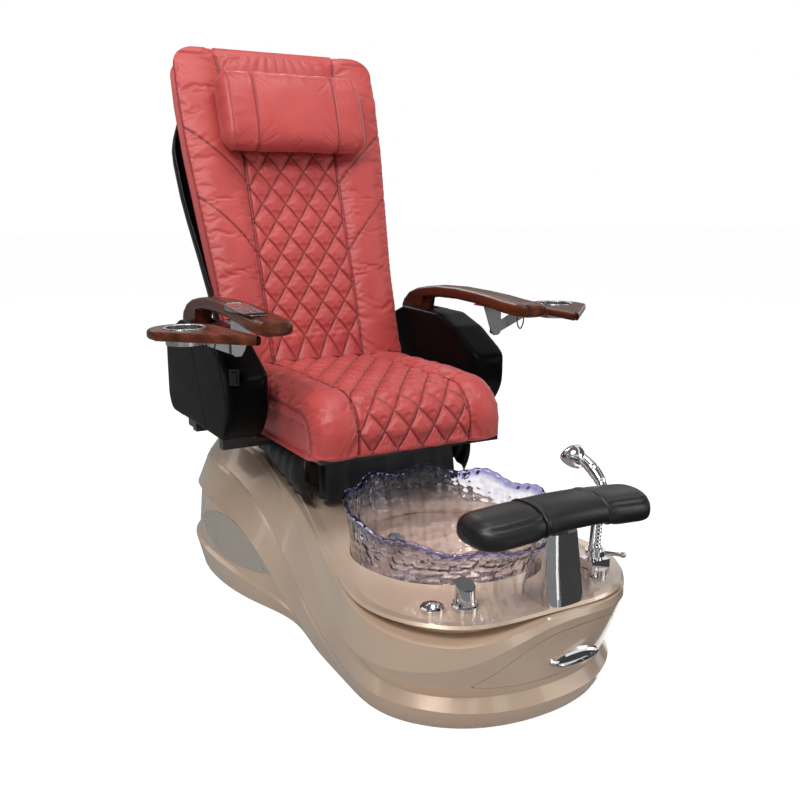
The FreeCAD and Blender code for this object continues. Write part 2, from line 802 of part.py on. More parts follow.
HALF = "sizes.chassis_half"
SIDE = "sizes.tube_side"
BASE = "sizes.chassis_base"


def long_rail(name, sign):
    return box(name, SIDE, "sizes.chassis_rear + 560", SIDE,
               ("%s*sizes.chassis_half - sizes.tube_side/2" % sign, -560.0, BASE))


def cross_tube(name, y, base=BASE):
    return box(name, "2*sizes.chassis_half + sizes.tube_side", SIDE, SIDE,
               ("-sizes.chassis_half - sizes.tube_side/2", y, base))


def upright(name, sign, y, top):
    return box(name, SIDE, SIDE, top + " - sizes.chassis_base",
               ("%s*sizes.chassis_half - sizes.tube_side/2" % sign, y, BASE))


chassis_tubes = []
for sign, word in (("-1", "right"), ("1", "left")):
    chassis_tubes.append(long_rail("rail_low_" + word, sign))
    chassis_tubes.append(upright("post_front_" + word, sign, "sizes.post_front - sizes.tube_side/2",
                                 "sizes.rail_base"))
    chassis_tubes.append(upright("post_rear_" + word, sign, "sizes.post_rear - sizes.tube_side/2",
                                 "sizes.rail_base"))
    for k, y in enumerate((-80, 50)):
        chassis_tubes.append(upright("cradle_leg_%d_%s" % (k, word), sign,
                                     "sizes.bowl_centre_y + %d" % y, "sizes.bowl_floor"))
for k, y in enumerate((-560, -200, -15, 370)):
    chassis_tubes.append(cross_tube("chassis_cross_%d" % k, float(y)))
for k, y in enumerate((-80, 50)):
    chassis_tubes.append(cross_tube("cradle_bar_%d" % k, "sizes.bowl_centre_y + %d" % y,
                                    "sizes.bowl_floor - sizes.tube_side"))
jet_shelf = box("jet_shelf", "2*sizes.chassis_half", 50.0, 5.0,
                ("-sizes.chassis_half", JET_OUTER + 16, JET_SPOT.z - 49))
jet_legs = [box("jet_leg_%d" % x, 12.0, 50.0, JET_SPOT.z - 49 - 30,
                (float(x), JET_OUTER + 16, 30.0)) for x in (-144, 132)]
chassis = keep(cut("chassis_cut", fuse("chassis_fuse", *chassis_tubes, jet_shelf, *jet_legs),
                   rod("pipe_saddle", "sizes.pipe_radius + 4.3", 210.0,
                       (0, "sizes.bowl_centre_y", 76.0), ALONG_Y)), "chassis")

feet = []
for k, (x, y) in enumerate(((-1, -530), (1, -530), (-1, 380), (1, 380), (0, 0))):
    feet.append(turned_body("foot_%d" % k, [
        (0, 0), ("sizes.foot_radius", 0), ("sizes.foot_radius", 6),
        ("sizes.foot_radius - 6", 12), (8, 14), (8, "sizes.chassis_base"),
        (0, "sizes.chassis_base")], ("%d*sizes.chassis_half" % x, float(y), 0)))
levelling_feet = keep(group("levelling_feet_group", *feet), "levelling_feet")

slide_rails = keep(group("slide_rails_group", *[
    box("slide_rail_" + word, "sizes.rail_wide", "sizes.rail_rear - sizes.rail_front",
        "sizes.rail_tall", ("%s*sizes.chassis_half - sizes.rail_wide/2" % sign,
                            "sizes.rail_front", "sizes.rail_base"))
    for sign, word in (("-1", "right"), ("1", "left"))]), "slide_rails")


# Deck fittings: air button, jet knob, faucet and spray holder

def ring_on_deck(name, x, y, outer, inner, top):
    body = Part.makeCylinder(outer, top - 200, Vector(x, y, 200))
    crown = Part.makeCone(outer, outer - 3, 3, Vector(x, y, top))
    hole = Part.makeCylinder(inner, 100, Vector(x, y, 190))
    return shaped(name, on_deck(body.fuse(crown).cut(hole)))


button_bezel = keep(ring_on_deck("button_bezel_form", S["button_x"], S["button_y"],
                                 S["bezel_radius"], S["button_radius"] + S["clear"],
                                 S["deck_level"] + 3), "button_bezel")
knob_collar = keep(ring_on_deck("knob_collar_form", S["knob_x"], S["knob_y"],
                                S["knob_radius"] + 5, 6.05, S["deck_level"] + 3), "knob_collar")
air_button = keep(turned_body("air_button_body", [
    (0, 0), ("sizes.button_radius", 0), ("sizes.button_radius", 8),
    ("sizes.button_radius*0.9", 11), ("sizes.button_radius*0.6", 13.5), (0, 15)],
    ("sizes.button_x", "sizes.button_y", "sizes.deck_level - 3")), "air_button")


def knob_shape():
    base = Vector(S["knob_x"], S["knob_y"], S["deck_level"] + 6 + S["clear"])
    radius, tall = S["knob_radius"], S["knob_tall"]
    solid = Part.makeCylinder(radius + 2, 5, base).fuse(
        Part.makeCone(radius, radius - 1.5, tall, base + Vector(0, 0, 5)))
    tilt = FreeCAD.Placement(base + Vector(0, 0, tall * 0.86),
                             FreeCAD.Rotation(Vector(1, 0, 0), 22))
    lid = Part.makeBox(120, 120, 60, Vector(-60, -60, 0))
    lid.Placement = tilt
    notch = Part.makeBox(14, 20, 14, base + Vector(-22, -30, -1))
    shaft = Part.makeCylinder(6, 40, base + Vector(0, 0, -34))
    return solid.cut(lid).cut(notch).fuse(shaft).removeSplitter()


jet_knob = keep(shaped("jet_knob_form", knob_shape()), "jet_knob")

NECK = Vector(S["faucet_x"] + 12, S["faucet_y"] + 3, 0)
LEVER_Z = 273.0
HOLDER_AT = 100.0


def faucet_shape():
    flange = Part.makeCylinder(27, 46, NECK + Vector(0, 0, 200))
    block = Part.makeBox(48, 40, 66, NECK + Vector(-24, -20, 200))
    neck = Part.makeCylinder(15, 92, NECK + Vector(0, 0, 200))
    whole = flange.fuse([block, neck])
    return on_deck(whole.cut(leaning_rod(S["hose_radius"] + 0.6, -140, 20)))


faucet_body = keep(shaped("faucet_body_form", faucet_shape()), "faucet_body")


def lever_shape():
    ring = Part.makeCylinder(21, 12, NECK + Vector(0, 0, LEVER_Z))
    hole = Part.makeCylinder(15.05, 20, NECK + Vector(0, 0, LEVER_Z - 4))
    way = Vector(0.80, -0.58, -0.08).normalize()
    start = NECK + Vector(0, 0, LEVER_Z + 6) + way * 18
    bar = Part.makeCylinder(4.5, 38, start, way)
    tip = Part.makeSphere(6.5, start + way * 40)
    return ring.fuse([bar, tip]).cut(hole)


faucet_lever = keep(shaped("faucet_lever_form", lever_shape()), "faucet_lever")


def holder_shape():
    stem_base = NECK + Vector(-6, 7, 291.8)
    stem = Part.makeCylinder(4.5, HOLDER_AT + 8, stem_base, HOSE_WAY)
    ring = leaning_rod(17, HOLDER_AT, HOLDER_AT + 16)
    bore = leaning_rod(12.4, HOLDER_AT - 12, HOLDER_AT + 30)
    foot = Part.makeCylinder(4.5, 4, NECK + Vector(-6, 7, 290.2))
    whole = stem.fuse([ring, foot]).cut(bore)
    below = Part.makeBox(60, 60, 30, NECK + Vector(-30, -30, 262.2))
    return biggest(whole.cut(below))


spray_holder = keep(shaped("spray_holder_form", holder_shape()), "spray_holder")

HEAD = Vector(234, -534, 456)


def handset_shape():
    ferrule = leaning_rod(12, HOLDER_AT - 2, HOLDER_AT + 30)
    stop = leaning_rod(15.5, HOLDER_AT + 16 + S["clear"], HOLDER_AT + 22)
    elbow_spot = HOSE_TOP + HOSE_WAY * (HOLDER_AT + 30)
    elbow = Part.makeSphere(12, elbow_spot)
    way = (HEAD - elbow_spot)
    reach = way.Length
    way.normalize()
    handle = Part.makeCone(12, 9.5, reach, elbow_spot, way)
    face = Vector(-0.25, 0.25, -1).normalize()
    dome = Part.makeSphere(33, HEAD - face * 12)
    front = Part.makeCylinder(60, 60, HEAD + face * 9, face)
    bowl = dome.cut(front)
    return ferrule.fuse([stop, elbow, handle, bowl])


handset = keep(shaped("handset_form", handset_shape()), "spray_handset")


def hose_shape():
    """Ribbed hose: a turned zigzag over the whole length, with smooth ends."""
    radius, long = S["hose_radius"], S["hose_long"]
    bore = radius - 2.2
    pitch = 8.0
    count = int((long - 4 * radius) / pitch)
    start = (long - count * pitch) / 2
    corners = [Vector(bore, 0, 0), Vector(radius - 1, 0, 0), Vector(radius - 1, 0, start)]
    for i in range(count):
        corners.append(Vector(radius, 0, start + (i + 0.5) * pitch))
        corners.append(Vector(radius - 1, 0, start + (i + 1) * pitch))
    corners += [Vector(radius - 1, 0, long), Vector(bore, 0, long)]
    face = Part.Face(Part.makePolygon(corners + [corners[0]]))
    solid = face.revolve(Vector(0, 0, 0), Vector(0, 0, 1), 360)
    return solid


hose_spot = FreeCAD.Placement(HOSE_TOP + HOSE_WAY * (HOLDER_AT - 2 - S["hose_long"]),
                              FreeCAD.Rotation(Vector(0, 0, 1), HOSE_WAY))
spray_hose = keep(shaped("spray_hose_form", hose_shape(), hose_spot), "spray_hose")


# Leg rest: a tapered chrome column, and a pad on a post that slides in it

def column_shape():
    front, wide, deep = S["column_front"], S["column_wide"] / 2, S["column_deep"]
    x, top = S["column_x"], S["column_top"]
    rows = []
    for level, half_x, near, far in ((205, wide + 1, front - 2, front + deep),
                                     (250, wide, front, front + deep - 1),
                                     (304, wide - 5, front + 8, front + deep - 20),
                                     (top, wide - 11, front + 16, front + deep - 24)):
        middle = (near + far) / 2
        rows.append(oval_curve(Vector(x, middle, level), half_x, (far - near) / 2, 4.5, 32))
    solid = on_deck(capped_solid(rows))
    bore = S["post_side"] + 2 * S["clear"]
    return solid.cut(Part.makeBox(bore, bore, 260, Vector(x + 2 - bore / 2, POST_Y - bore / 2, 180)))


rest_column = keep(shaped("rest_column_form", column_shape()), "rest_column")
rest_post = keep(fuse("rest_post_fuse",
                      box("rest_post_tube", "sizes.post_side", "sizes.post_side", 176.0,
                          ("sizes.column_x + 2 - sizes.post_side/2",
                           "sizes.column_front + 50 - sizes.post_side/2",
                           "sizes.pad_base - 180.3")),
                      box("rest_post_plate", 180.0, 70.0, 8.3,
                          ("sizes.column_x + 2 - 90", "sizes.column_front + 50 - 35",
                           "sizes.pad_base - 4.3"))), "rest_post")

PAD_MIDDLE = Vector(S["column_x"] + 2, -706, 0)


def pad_row(share, grow=0.0):
    """Section of the pad: share runs from -1 to 1 along its width."""
    half = S["pad_deep"] / 2
    thick = S["pad_thick"] / 2
    wing = abs(share)
    rise = 5 * math.cos(wing * math.pi) + 4 * wing ** 2
    close = math.sqrt(max(0.0, 1 - max(0.0, (wing - 0.82) / 0.18) ** 2 * 0.86))
    drop = -8 * wing ** 2
    x = PAD_MIDDLE.x + share * (S["pad_half"] - grow)
    z = S["pad_base"] + thick + rise + drop + 4
    bow = -14 * math.cos(wing * math.pi / 2) + 6
    centre = Vector(x, PAD_MIDDLE.y + bow, z)
    return oval_curve(centre, (half + grow) * (0.35 + 0.65 * close), (thick + grow) * close, 2.6, 24,
                      (Vector(0, 1, 0), Vector(0, 0, 1)))


def pad_shape():
    shares = (-1, -0.985, -0.95, -0.86, -0.66, -0.4, -0.15, 0.15, 0.4, 0.66, 0.86, 0.95, 0.985, 1)
    solid = capped_solid([pad_row(s) for s in shares])
    seat = Part.makeBox(184, 74, 40, Vector(PAD_MIDDLE.x - 92, POST_Y - 37, S["pad_base"] - 40))
    saddle = capped_solid([pad_row(s, 0.3) for s in (-0.37, -0.15, 0.15, 0.37)])
    return solid, solid.cut(seat)


pad_full, pad_solid = pad_shape()


def saddle_shape():
    """Leather band wrapped round the middle of the pad."""
    outer = capped_solid([pad_row(s, 4.0) for s in (-0.35, -0.2, 0, 0.2, 0.35)])
    seat = Part.makeBox(184, 74, 60, Vector(PAD_MIDDLE.x - 92, POST_Y - 37, S["pad_base"] - 60 + 4))
    return outer.cut(pad_full).cut(seat)


leg_pad = keep(shaped("leg_pad_form", biggest(pad_solid)), "leg_pad")
leg_pad_band = keep(shaped("leg_pad_band_form", biggest(saddle_shape())), "leg_pad_band")


# Seat: sliding frame, pan, quilted cushion, apron and skirts

def flat_bar(name, x0, x1, y0, y1, z0, z1):
    return box(name, x1 - x0, y1 - y0, z1 - z0, (float(x0), float(y0), float(z0)))


SLIDE_BASE = S["rail_base"] + S["rail_tall"] + S["clear"]
PAN_BASE = S["seat_base"] - S["pan_thick"]
PIVOT = Vector(0, S["pivot_depth"], S["pivot_height"])
ARM_PIVOT = Vector(0, S["arm_pivot_y"], S["arm_pivot_z"])
POD_FLOOR = 438.0
EYE_Y = 252.0

seat_bars = []
for sign, word in ((-1, "right"), (1, "left")):
    seat_bars.append(box("slider_" + word, 30.0, 412.0, "sizes.seat_base - sizes.pan_thick - %s" % SLIDE_BASE,
                         ("%d*sizes.chassis_half - 15" % sign, -112.0, SLIDE_BASE)))
    plate = flat_bar("recline_plate_" + word, 190, 200, 273, 332, SLIDE_BASE + 1, 522)
    if sign < 0:
        plate.Placement.Base.x = -200.0
    seat_bars.append(plate)
    for tag, near in (("inner", S["arm_centre"] - 29), ("outer", S["arm_centre"] + 25)):
        low = near if sign > 0 else -near - 4
        seat_bars.append(flat_bar("arm_plate_%s_%s" % (tag, word), low, low + 4, EYE_Y, 344,
                                  PAN_BASE - 12, S["arm_pivot_z"] + 16))
    for tag, y in (("front", 40), ("rear", 256)):
        low = 292 if sign > 0 else -372
        seat_bars.append(flat_bar("pod_step_%s_%s" % (tag, word), low, low + 80, y, y + 26,
                                  PAN_BASE - 2, POD_FLOOR))
seat_bars.append(flat_bar("seat_cross_front", -140, 140, -112, -84, SLIDE_BASE + 1, PAN_BASE))
seat_bars.append(flat_bar("seat_cross_middle", -372, 372, 40, 66, PAN_BASE - 12, PAN_BASE))
seat_bars.append(flat_bar("seat_cross_rear", -372, 372, EYE_Y, 282, PAN_BASE - 12, PAN_BASE))
seat_bars.append(flat_bar("seat_apron_bar", -180, 180, -118, -112, 330, PAN_BASE))
eye_holes = [rod("recline_eye", 10.0, 500.0, (-250.0, PIVOT.y, PIVOT.z), ALONG_X),
             rod("arm_eye", "sizes.arm_pin", 900.0, (-450.0, "sizes.arm_pivot_y", "sizes.arm_pivot_z"),
                 ALONG_X)]
seat_frame = keep(cut("seat_frame_cut", fuse("seat_frame_fuse", *seat_bars),
                      fuse("seat_eyes", *eye_holes)), "seat_frame")

seat_pan = keep(box("seat_pan_plate", "2*sizes.seat_half - 24", "sizes.seat_rear - sizes.seat_front - 24",
                    "sizes.pan_thick", ("12 - sizes.seat_half", "sizes.seat_front + 12", PAN_BASE)),
                "seat_pan")

recline_pins = keep(group("recline_pins_group", *[
    rod("recline_pin_" + word, 9.98, 40.0, (x, PIVOT.y, PIVOT.z), ALONG_X)
    for word, x in (("right", -212.0), ("left", 172.0))]), "recline_pins")
arm_pins = keep(group("arm_pins_group", *[
    rod("arm_pin_" + word, S["arm_pin"] - 0.02, 62.0, (x, ARM_PIVOT.y, ARM_PIVOT.z), ALONG_X)
    for word, x in (("right", -S["arm_centre"] - 31), ("left", S["arm_centre"] - 31))]), "arm_pins")

SEAT_COLUMNS = 9
SEAT_STEP = 46.5
KNEE = 55.0


def seat_path(at, sink=0.0):
    """Point (y, z) and outward direction at a distance from the rear, over the top."""
    flat = S["seat_rear"] - 8 - (S["seat_front"] + KNEE)
    bend = KNEE * math.pi / 2
    if at <= flat:
        y = S["seat_rear"] - 8 - at
        spot, out = (y, S["seat_top"] - 6 * (at / flat - 0.35) ** 2), (0, 1)
    elif at <= flat + bend:
        turn = (at - flat) / KNEE
        out = (-math.sin(turn), math.cos(turn))
        spot = (S["seat_front"] + KNEE + KNEE * out[0], S["seat_top"] - KNEE - 2.5 + KNEE * out[1])
    else:
        spot, out = (S["seat_front"], S["seat_top"] - KNEE - 2.5 - (at - flat - bend)), (-1, 0)
    return spot[0] - sink * out[0], spot[1] - sink * out[1], out


SEAT_COUNT = 13


def seat_row(x, sink, puff):
    """Closed loop of the seat at one x; puff gives the rise at each step along the top."""
    points = []
    low, near, far = S["seat_base"] + max(sink, 0), S["seat_front"] + sink, S["seat_rear"] - sink
    for i in range(SEAT_COUNT + 1):
        y, z, out = seat_path(i * SEAT_STEP, sink)
        rise = puff(i)
        points.append(Vector(x, min(y, far - 4) + rise * out[0], max(z, low + 6) + rise * out[1]))
    points += [Vector(x, near + 8, low), Vector(x, near + 120, low), Vector(x, 60, low),
               Vector(x, far - 60, low), Vector(x, far - 6, low), Vector(x, far, low + 14),
               Vector(x, far, S["seat_top"] - 26 - sink)]
    return points


def quilt_rise(column, row, height, first, last):
    if row <= first or row >= last:
        return 0.0
    return height if (column + row) % 2 else 0.0


def seat_grid():
    half, quilt = S["seat_half"], S["seat_quilt_half"]
    bolster = (half - quilt) / 104
    rows = []
    sides = [(half - 14, 44, 0), (half - 5, 16, 0), (half, 6, 2), (half - 3, -1, 0), (half - 9, -3, 5),
             (half - 34 * bolster, -3, 8), (half - 66 * bolster, -3, 7), (quilt + 12, 0, 3)]
    for x, sink, rise in sides:
        rows.append(seat_row(-x, sink, lambda i, r=rise: r * math.sin(math.pi * (i + 1) / 15)))
    for column in range(SEAT_COLUMNS + 1):
        x = -quilt + 2 * quilt * column / SEAT_COLUMNS
        edge = column in (0, SEAT_COLUMNS)
        rows.append(seat_row(x, 4 if edge else 0, lambda i, c=column, e=edge:
                             0.0 if e else quilt_rise(c, i, 8.0, 0, SEAT_COUNT)))
    for x, sink, rise in reversed(sides):
        rows.append(seat_row(x, sink, lambda i, r=rise: r * math.sin(math.pi * (i + 1) / 15)))
    return rows


seat_cushion = keep(shaped("seat_cushion_form", net_solid(seat_grid(), 8)), "seat_cushion")


def lip_level(y):
    """Height of the deck edge beside the chair at a distance along the chair."""
    marks = [(-150, 262), (-100, 276), (50, 317), (200, 355), (320, 372), (420, 384)]
    for (y0, z0), (y1, z1) in zip(marks, marks[1:]):
        if y <= y1:
            return z0 + (z1 - z0) * (y - y0) / (y1 - y0)
    return marks[-1][1]


def skirt_shape(sign):
    """Hanging side skirt; its foot stays clear of the deck edge over the whole slide."""
    ys = [-118, -60, 0, 60, 120, 180, 240, 296]
    feet_points = [Vector(0, y, lip_level(y + S["slide_travel"]) + 12) for y in ys]
    tops = [Vector(0, 296, PAN_BASE - 1), Vector(0, -118, PAN_BASE - 1)]
    side = prism(feet_points + tops, Vector(4, 0, 0))
    side.translate(Vector(sign * 232 - 2, 0, 0))
    inner = S["seat_half"] - 48
    flange = Part.makeBox(230 - inner, 350, 4, Vector(min(sign * 230, sign * inner), -118, PAN_BASE - 4))
    whole = side.fuse(flange)
    for near, far in ((40, 66), (EYE_Y, 282)):
        whole = whole.cut(Part.makeBox(900, far - near, 14, Vector(-450, near, PAN_BASE - 12)))
    return biggest(whole)


side_skirts = [keep(shaped("side_skirt_form_" + word, skirt_shape(sign)), "side_skirt_" + word)
               for sign, word in ((-1, "right"), (1, "left"))]


def apron_shape():
    """Soft front flap hung from the front bar, bowed forward at its foot."""
    curves = []
    for z, bow, half in ((424, 0, 182), (400, 3, 184), (350, 9, 187), (312, 7, 189), (304, 5, 189)):
        points = []
        for share in (-1, -0.8, -0.4, 0, 0.4, 0.8, 1):
            points.append(Vector(share * half, -121.2 - bow * (1 - 0.5 * share ** 2), z))
        inner = [Vector(p.x * 0.999, p.y + 3.0, p.z) for p in reversed(points)]
        curves.append(closed_curve(points + inner, even_marks(14)))
    return capped_solid(curves)


front_apron = keep(shaped("front_apron_form", apron_shape()), "front_apron")
slide_motor = keep(fuse("slide_motor_fuse",
                        box("slide_motor_case", 60.0, 96.0, 44.0, (-30.0, 90.0, PAN_BASE - 44)),
                        rod("slide_motor_screw", 6.0, 110.0, (0.0, -20.0, PAN_BASE - 30), ALONG_Y),
                        rod("slide_motor_can", 22.0, 60.0, (52.0, 110.0, PAN_BASE - 22), ALONG_Y),
                        box("slide_motor_bridge", 60.0, 40.0, 20.0, (0.0, 112.0, PAN_BASE - 34))),
                   "slide_motor")
recline_motor = keep(fuse("recline_motor_fuse",
                          rod("recline_motor_can", 26.0, 130.0, (-65.0, PIVOT.y, PIVOT.z), ALONG_X),
                          rod("recline_motor_shaft", 8.0, 344.0, (-172.0, PIVOT.y, PIVOT.z), ALONG_X),
                          box("recline_motor_foot", 70.0, 12.0, 64.0, (-35.0, 275.0, PAN_BASE))),
                     "recline_motor")


# Back: reclining frame, quilted cushion, pillow, rear shell, massage carriage

LEAN = FreeCAD.Placement(Vector(0, S["back_front"], S["back_base"]),
                         FreeCAD.Rotation(Vector(1, 0, 0), -S["back_lean"]))
BACK_COLUMNS = 8
BACK_STEP = 47.0
BACK_COUNT = 18
BACK_HALF = [(0, 258), (230, 268), (440, 285), (633, 302), (822, 314), (890, 314)]
QUILT_HALF = [(0, 138), (560, 138), (860, 180), (890, 184)]


def along(table, at):
    """Straight-line reading of a table of (place, value)."""
    for (a0, v0), (a1, v1) in zip(table, table[1:]):
        if at <= a1:
            return v0 + (v1 - v0) * (at - a0) / (a1 - a0)
    return table[-1][1]


def back_loop(place, sink, puff):
    """Closed loop of the back at one share of its width; place gives x at a height."""
    long, thick = S["back_long"], S["back_thick"]
    points = []
    for i in range(BACK_COUNT + 1):
        level = min(max(12 + i * BACK_STEP, 8 + sink), long - 14 - sink)
        points.append(Vector(place(level), sink - puff(i), level))
    top, low, rear = long - sink, 2 + sink, thick - max(sink, 0) * 0.4
    ease = min(12.0, 0.25 * (rear - sink))
    middle = (sink + rear) / 2
    points += [Vector(place(top), sink + ease, top), Vector(place(top), middle, top + 4),
               Vector(place(top), rear - ease, top)]
    for level in (long - 40 - sink, 660, 430, 220, 40 + sink):
        points.append(Vector(place(level), rear, level))
    points += [Vector(place(low), rear - ease, low), Vector(place(low), middle, low - 1),
               Vector(place(low), sink + ease, low)]
    return points


def back_grid():
    rows = []
    sides = [(-18, 36, 0), (-6, 14, 0), (0, 4, 0), (-3, -2, 0), (-10, -4, 3), (-34, -4, 8),
             (-80, -4, 7)]

    def side_row(sign, inset, sink, rise):
        def place(level):
            wide, seam = along(BACK_HALF, level), along(QUILT_HALF, level)
            return sign * max(wide + inset, seam + 14)
        return back_loop(place, sink, lambda i: rise * math.sin(math.pi * (i + 1) / 20))

    for inset, sink, rise in sides:
        rows.append(side_row(-1, inset, sink, rise))
    for column in range(BACK_COLUMNS + 1):
        share = 2 * column / BACK_COLUMNS - 1
        edge = column in (0, BACK_COLUMNS)
        rows.append(back_loop(lambda level, s=share: s * along(QUILT_HALF, level), 4 if edge else 0,
                              lambda i, c=column, e=edge:
                              0.0 if e else quilt_rise(c, i, 8.0, 0, 17)))
    for inset, sink, rise in reversed(sides):
        rows.append(side_row(1, inset, sink, rise))
    return rows


back_cushion = keep(shaped("back_cushion_form", net_solid(back_grid(), 7), LEAN), "back_cushion")


def pillow_shape():
    half, tall, thick = S["pillow_half"], S["pillow_tall"], S["pillow_thick"]
    middle = S["pillow_low"] + tall / 2
    rows = []
    for share, grow in ((-1, 0.62), (-0.985, 0.82), (-0.95, 0.93), (-0.885, 0.965), (-0.87, 0.945),
                        (-0.84, 0.98), (-0.5, 1.0), (0, 1.0), (0.5, 1.0), (0.84, 0.98),
                        (0.87, 0.945), (0.885, 0.965), (0.95, 0.93), (0.985, 0.82), (1, 0.62)):
        rows.append(oval_curve(Vector(share * half, -8.6 - thick / 2, middle), thick / 2 * grow,
                               tall / 2 * grow ** 0.5, 3.0, 24, (Vector(0, 1, 0), Vector(0, 0, 1))))
    return capped_solid(rows)


pillow = keep(shaped("pillow_form", pillow_shape(), LEAN), "pillow")


def shell_row(level, grow):
    wide = along(BACK_HALF, level)
    shoulder = 5 + 5 * math.sin(math.pi * min(1.0, max(0.0, (level - 100) / 700)))
    centre = Vector(0, S["back_thick"] - 10, level)
    return oval_curve(centre, wide + shoulder + grow, S["shell_depth"] + 10 + grow, 4.0, 40)


def back_shell_shape():
    levels = [28, 34, 60, 140, 300, 460, 620, 780, 836, 858, 866]
    trims = [-26, -14, -4, 0, 0, 0, 0, 0, -4, -14, -26]
    wall = S["back_shell_wall"]
    outer = capped_solid([shell_row(z, t) for z, t in zip(levels, trims)])
    inner = capped_solid([shell_row(z + (wall if z < 400 else -wall), t - wall)
                          for z, t in zip(levels, trims)])
    front = Part.makeBox(900, 400, 1100, Vector(-450, S["back_thick"] + 0.3 - 400, -100))
    notch = Part.makeBox(64, 200, 120, Vector(0, 0, 0))
    solid = outer.cut(inner).cut(front)
    for x in (-195, 195):
        solid = solid.cut(notch.translated(Vector(x - 32, 60, -40)))
    return biggest(solid)


back_shell = keep(shaped("back_shell_form", back_shell_shape(), LEAN), "back_shell")


def in_back(shape):
    """Move a shape drawn along the upright back into the leaning back."""
    return shape.transformed(LEAN.toMatrix())


SPINE_Y = 104.0
RAIL_X = 95.0
RAIL_Y = 128.0


def back_frame_shape():
    parts = []
    for x in (-195, 195):
        parts.append(Part.makeCylinder(11, 856, Vector(x, SPINE_Y, -56)))
    for level in (86, 780):
        parts.append(Part.makeBox(400, 22, 16, Vector(-200, 112, level - 8)))
    for level in (160, 400, 640):
        for x in (-195, 195):
            parts.append(Part.makeBox(30, 17.7, 30, Vector(x - 15, 84.3, level - 15)))
    whole = in_back(parts[0].fuse(parts[1:]))
    plates = []
    for x in (-189.7, 179.7):
        ear = prism([Vector(x, 276, 486), Vector(x, 322, 478), Vector(x, 404, 520),
                     Vector(x, 414, 592), Vector(x, 388, 592), Vector(x, 376, 551),
                     Vector(x, 280, 518)], Vector(10, 0, 0))
        plates.append(ear)
    whole = whole.fuse(plates)
    return whole.cut(Part.makeCylinder(10.05, 600, Vector(-300, PIVOT.y, PIVOT.z), Vector(1, 0, 0)))


back_frame = keep(shaped("back_frame_form", back_frame_shape()), "back_frame")


def rails_shape():
    rails = [in_back(Part.makeCylinder(6, 684, Vector(x, RAIL_Y - 2, 90))) for x in (-RAIL_X, RAIL_X)]
    return Part.makeCompound([rail.cut(back_frame_shape()) for rail in rails])


massage_rails = keep(shaped("massage_rails_form", rails_shape()), "massage_rails")


def carriage_shape():
    plate = Part.makeBox(240, 20, 84, Vector(-120, RAIL_Y - 12, 108))
    for x in (-70, 70):
        arm = Part.makeBox(12, 30, 26, Vector(x - 6, 92, 137))
        plate = plate.fuse(arm)
    plate = plate.fuse(Part.makeBox(70, 20, 60, Vector(-35, RAIL_Y - 12, 120)))
    for x in (-RAIL_X, RAIL_X):
        plate = plate.cut(Part.makeCylinder(6.05, 300, Vector(x, RAIL_Y - 2, 20)))
    plate = plate.cut(Part.makeCylinder(5.05, 200, Vector(-100, 101, 150), Vector(1, 0, 0)))
    return in_back(plate)


massage_carriage = keep(shaped("massage_carriage_form", carriage_shape()), "massage_carriage")


def rollers_shape():
    shaft = Part.makeCylinder(5, 220, Vector(-110, 101, 150), Vector(1, 0, 0))
    for x in (-46, 22, -104, 80):
        wheel = Part.makeCylinder(14, 24, Vector(x, 101, 150), Vector(1, 0, 0))
        shaft = shaft.fuse(wheel)
    return in_back(shaft)


massage_rollers = keep(shaped("massage_rollers_form", rollers_shape()), "massage_rollers")


# Armrest pods: padded hollow housings beside the seat

def rounded(points, grow):
    """Face of a closed polygon pushed out by grow, with round corners."""
    wire = Part.makePolygon(points + [points[0]])
    return Part.Face(wire.makeOffset2D(grow, 0, False, False, False))


POD_SIDE = [(-12, 470), (-42, 580), (66, 640), (146, 666), (322, 670), (438, 625), (455, 505),
            (420, 468)]


def pod_form(grow):
    side = rounded([Vector(200, y, z) for y, z in POD_SIDE], 30 + grow).extrude(Vector(280, 0, 0))
    plan = rounded([Vector(x, y, 380) for x, y in ((S["pod_inner"] + 34, -38), (S["pod_outer"] - 34, -38),
                                                   (S["pod_outer"] - 34, 452), (S["pod_inner"] + 34, 452))],
                   34 + grow).extrude(Vector(0, 0, 400))
    return side.common(plan)


def pod_shape():
    wall = 4.0
    shell = pod_form(0).cut(pod_form(-wall))
    middle = S["arm_centre"]
    shell = shell.cut(Part.makeBox(54, 182, 120, Vector(middle - 27, 244, 590)))
    shell = shell.cut(Part.makeBox(62, 98, 30, Vector(middle - 31, 249.6, 425)))
    return biggest(shell)


pod_left = pod_shape()
rocker_way = Vector(1, -1, 0).normalize()
rocker_spot = Vector(S["pod_outer"] - 34 + 34 * rocker_way.x - 1.2, -38 + 34 * rocker_way.y + 1.2, 606)


def switch_tool(wide, tall, deep, out):
    tool = Part.makeBox(wide, deep, tall, Vector(-wide / 2, 0, -tall / 2))
    tool.Placement = FreeCAD.Placement(Vector(-rocker_spot.x, rocker_spot.y, rocker_spot.z)
                                       + Vector(-rocker_way.x, rocker_way.y, 0) * out,
                                       FreeCAD.Rotation(Vector(0, 0, 1), -45))
    return tool


pod_right = mirror(pod_left).cut(switch_tool(22.6, 36.6, 40, 20))
armrest_pod_right = keep(shaped("armrest_pod_form_right", pod_right), "armrest_pod_right")
armrest_pod_left = keep(shaped("armrest_pod_form_left", pod_left), "armrest_pod_left")


# Rocker switch on the right pod, badge screws and panel catches

SWITCH_AXLE = 2.2


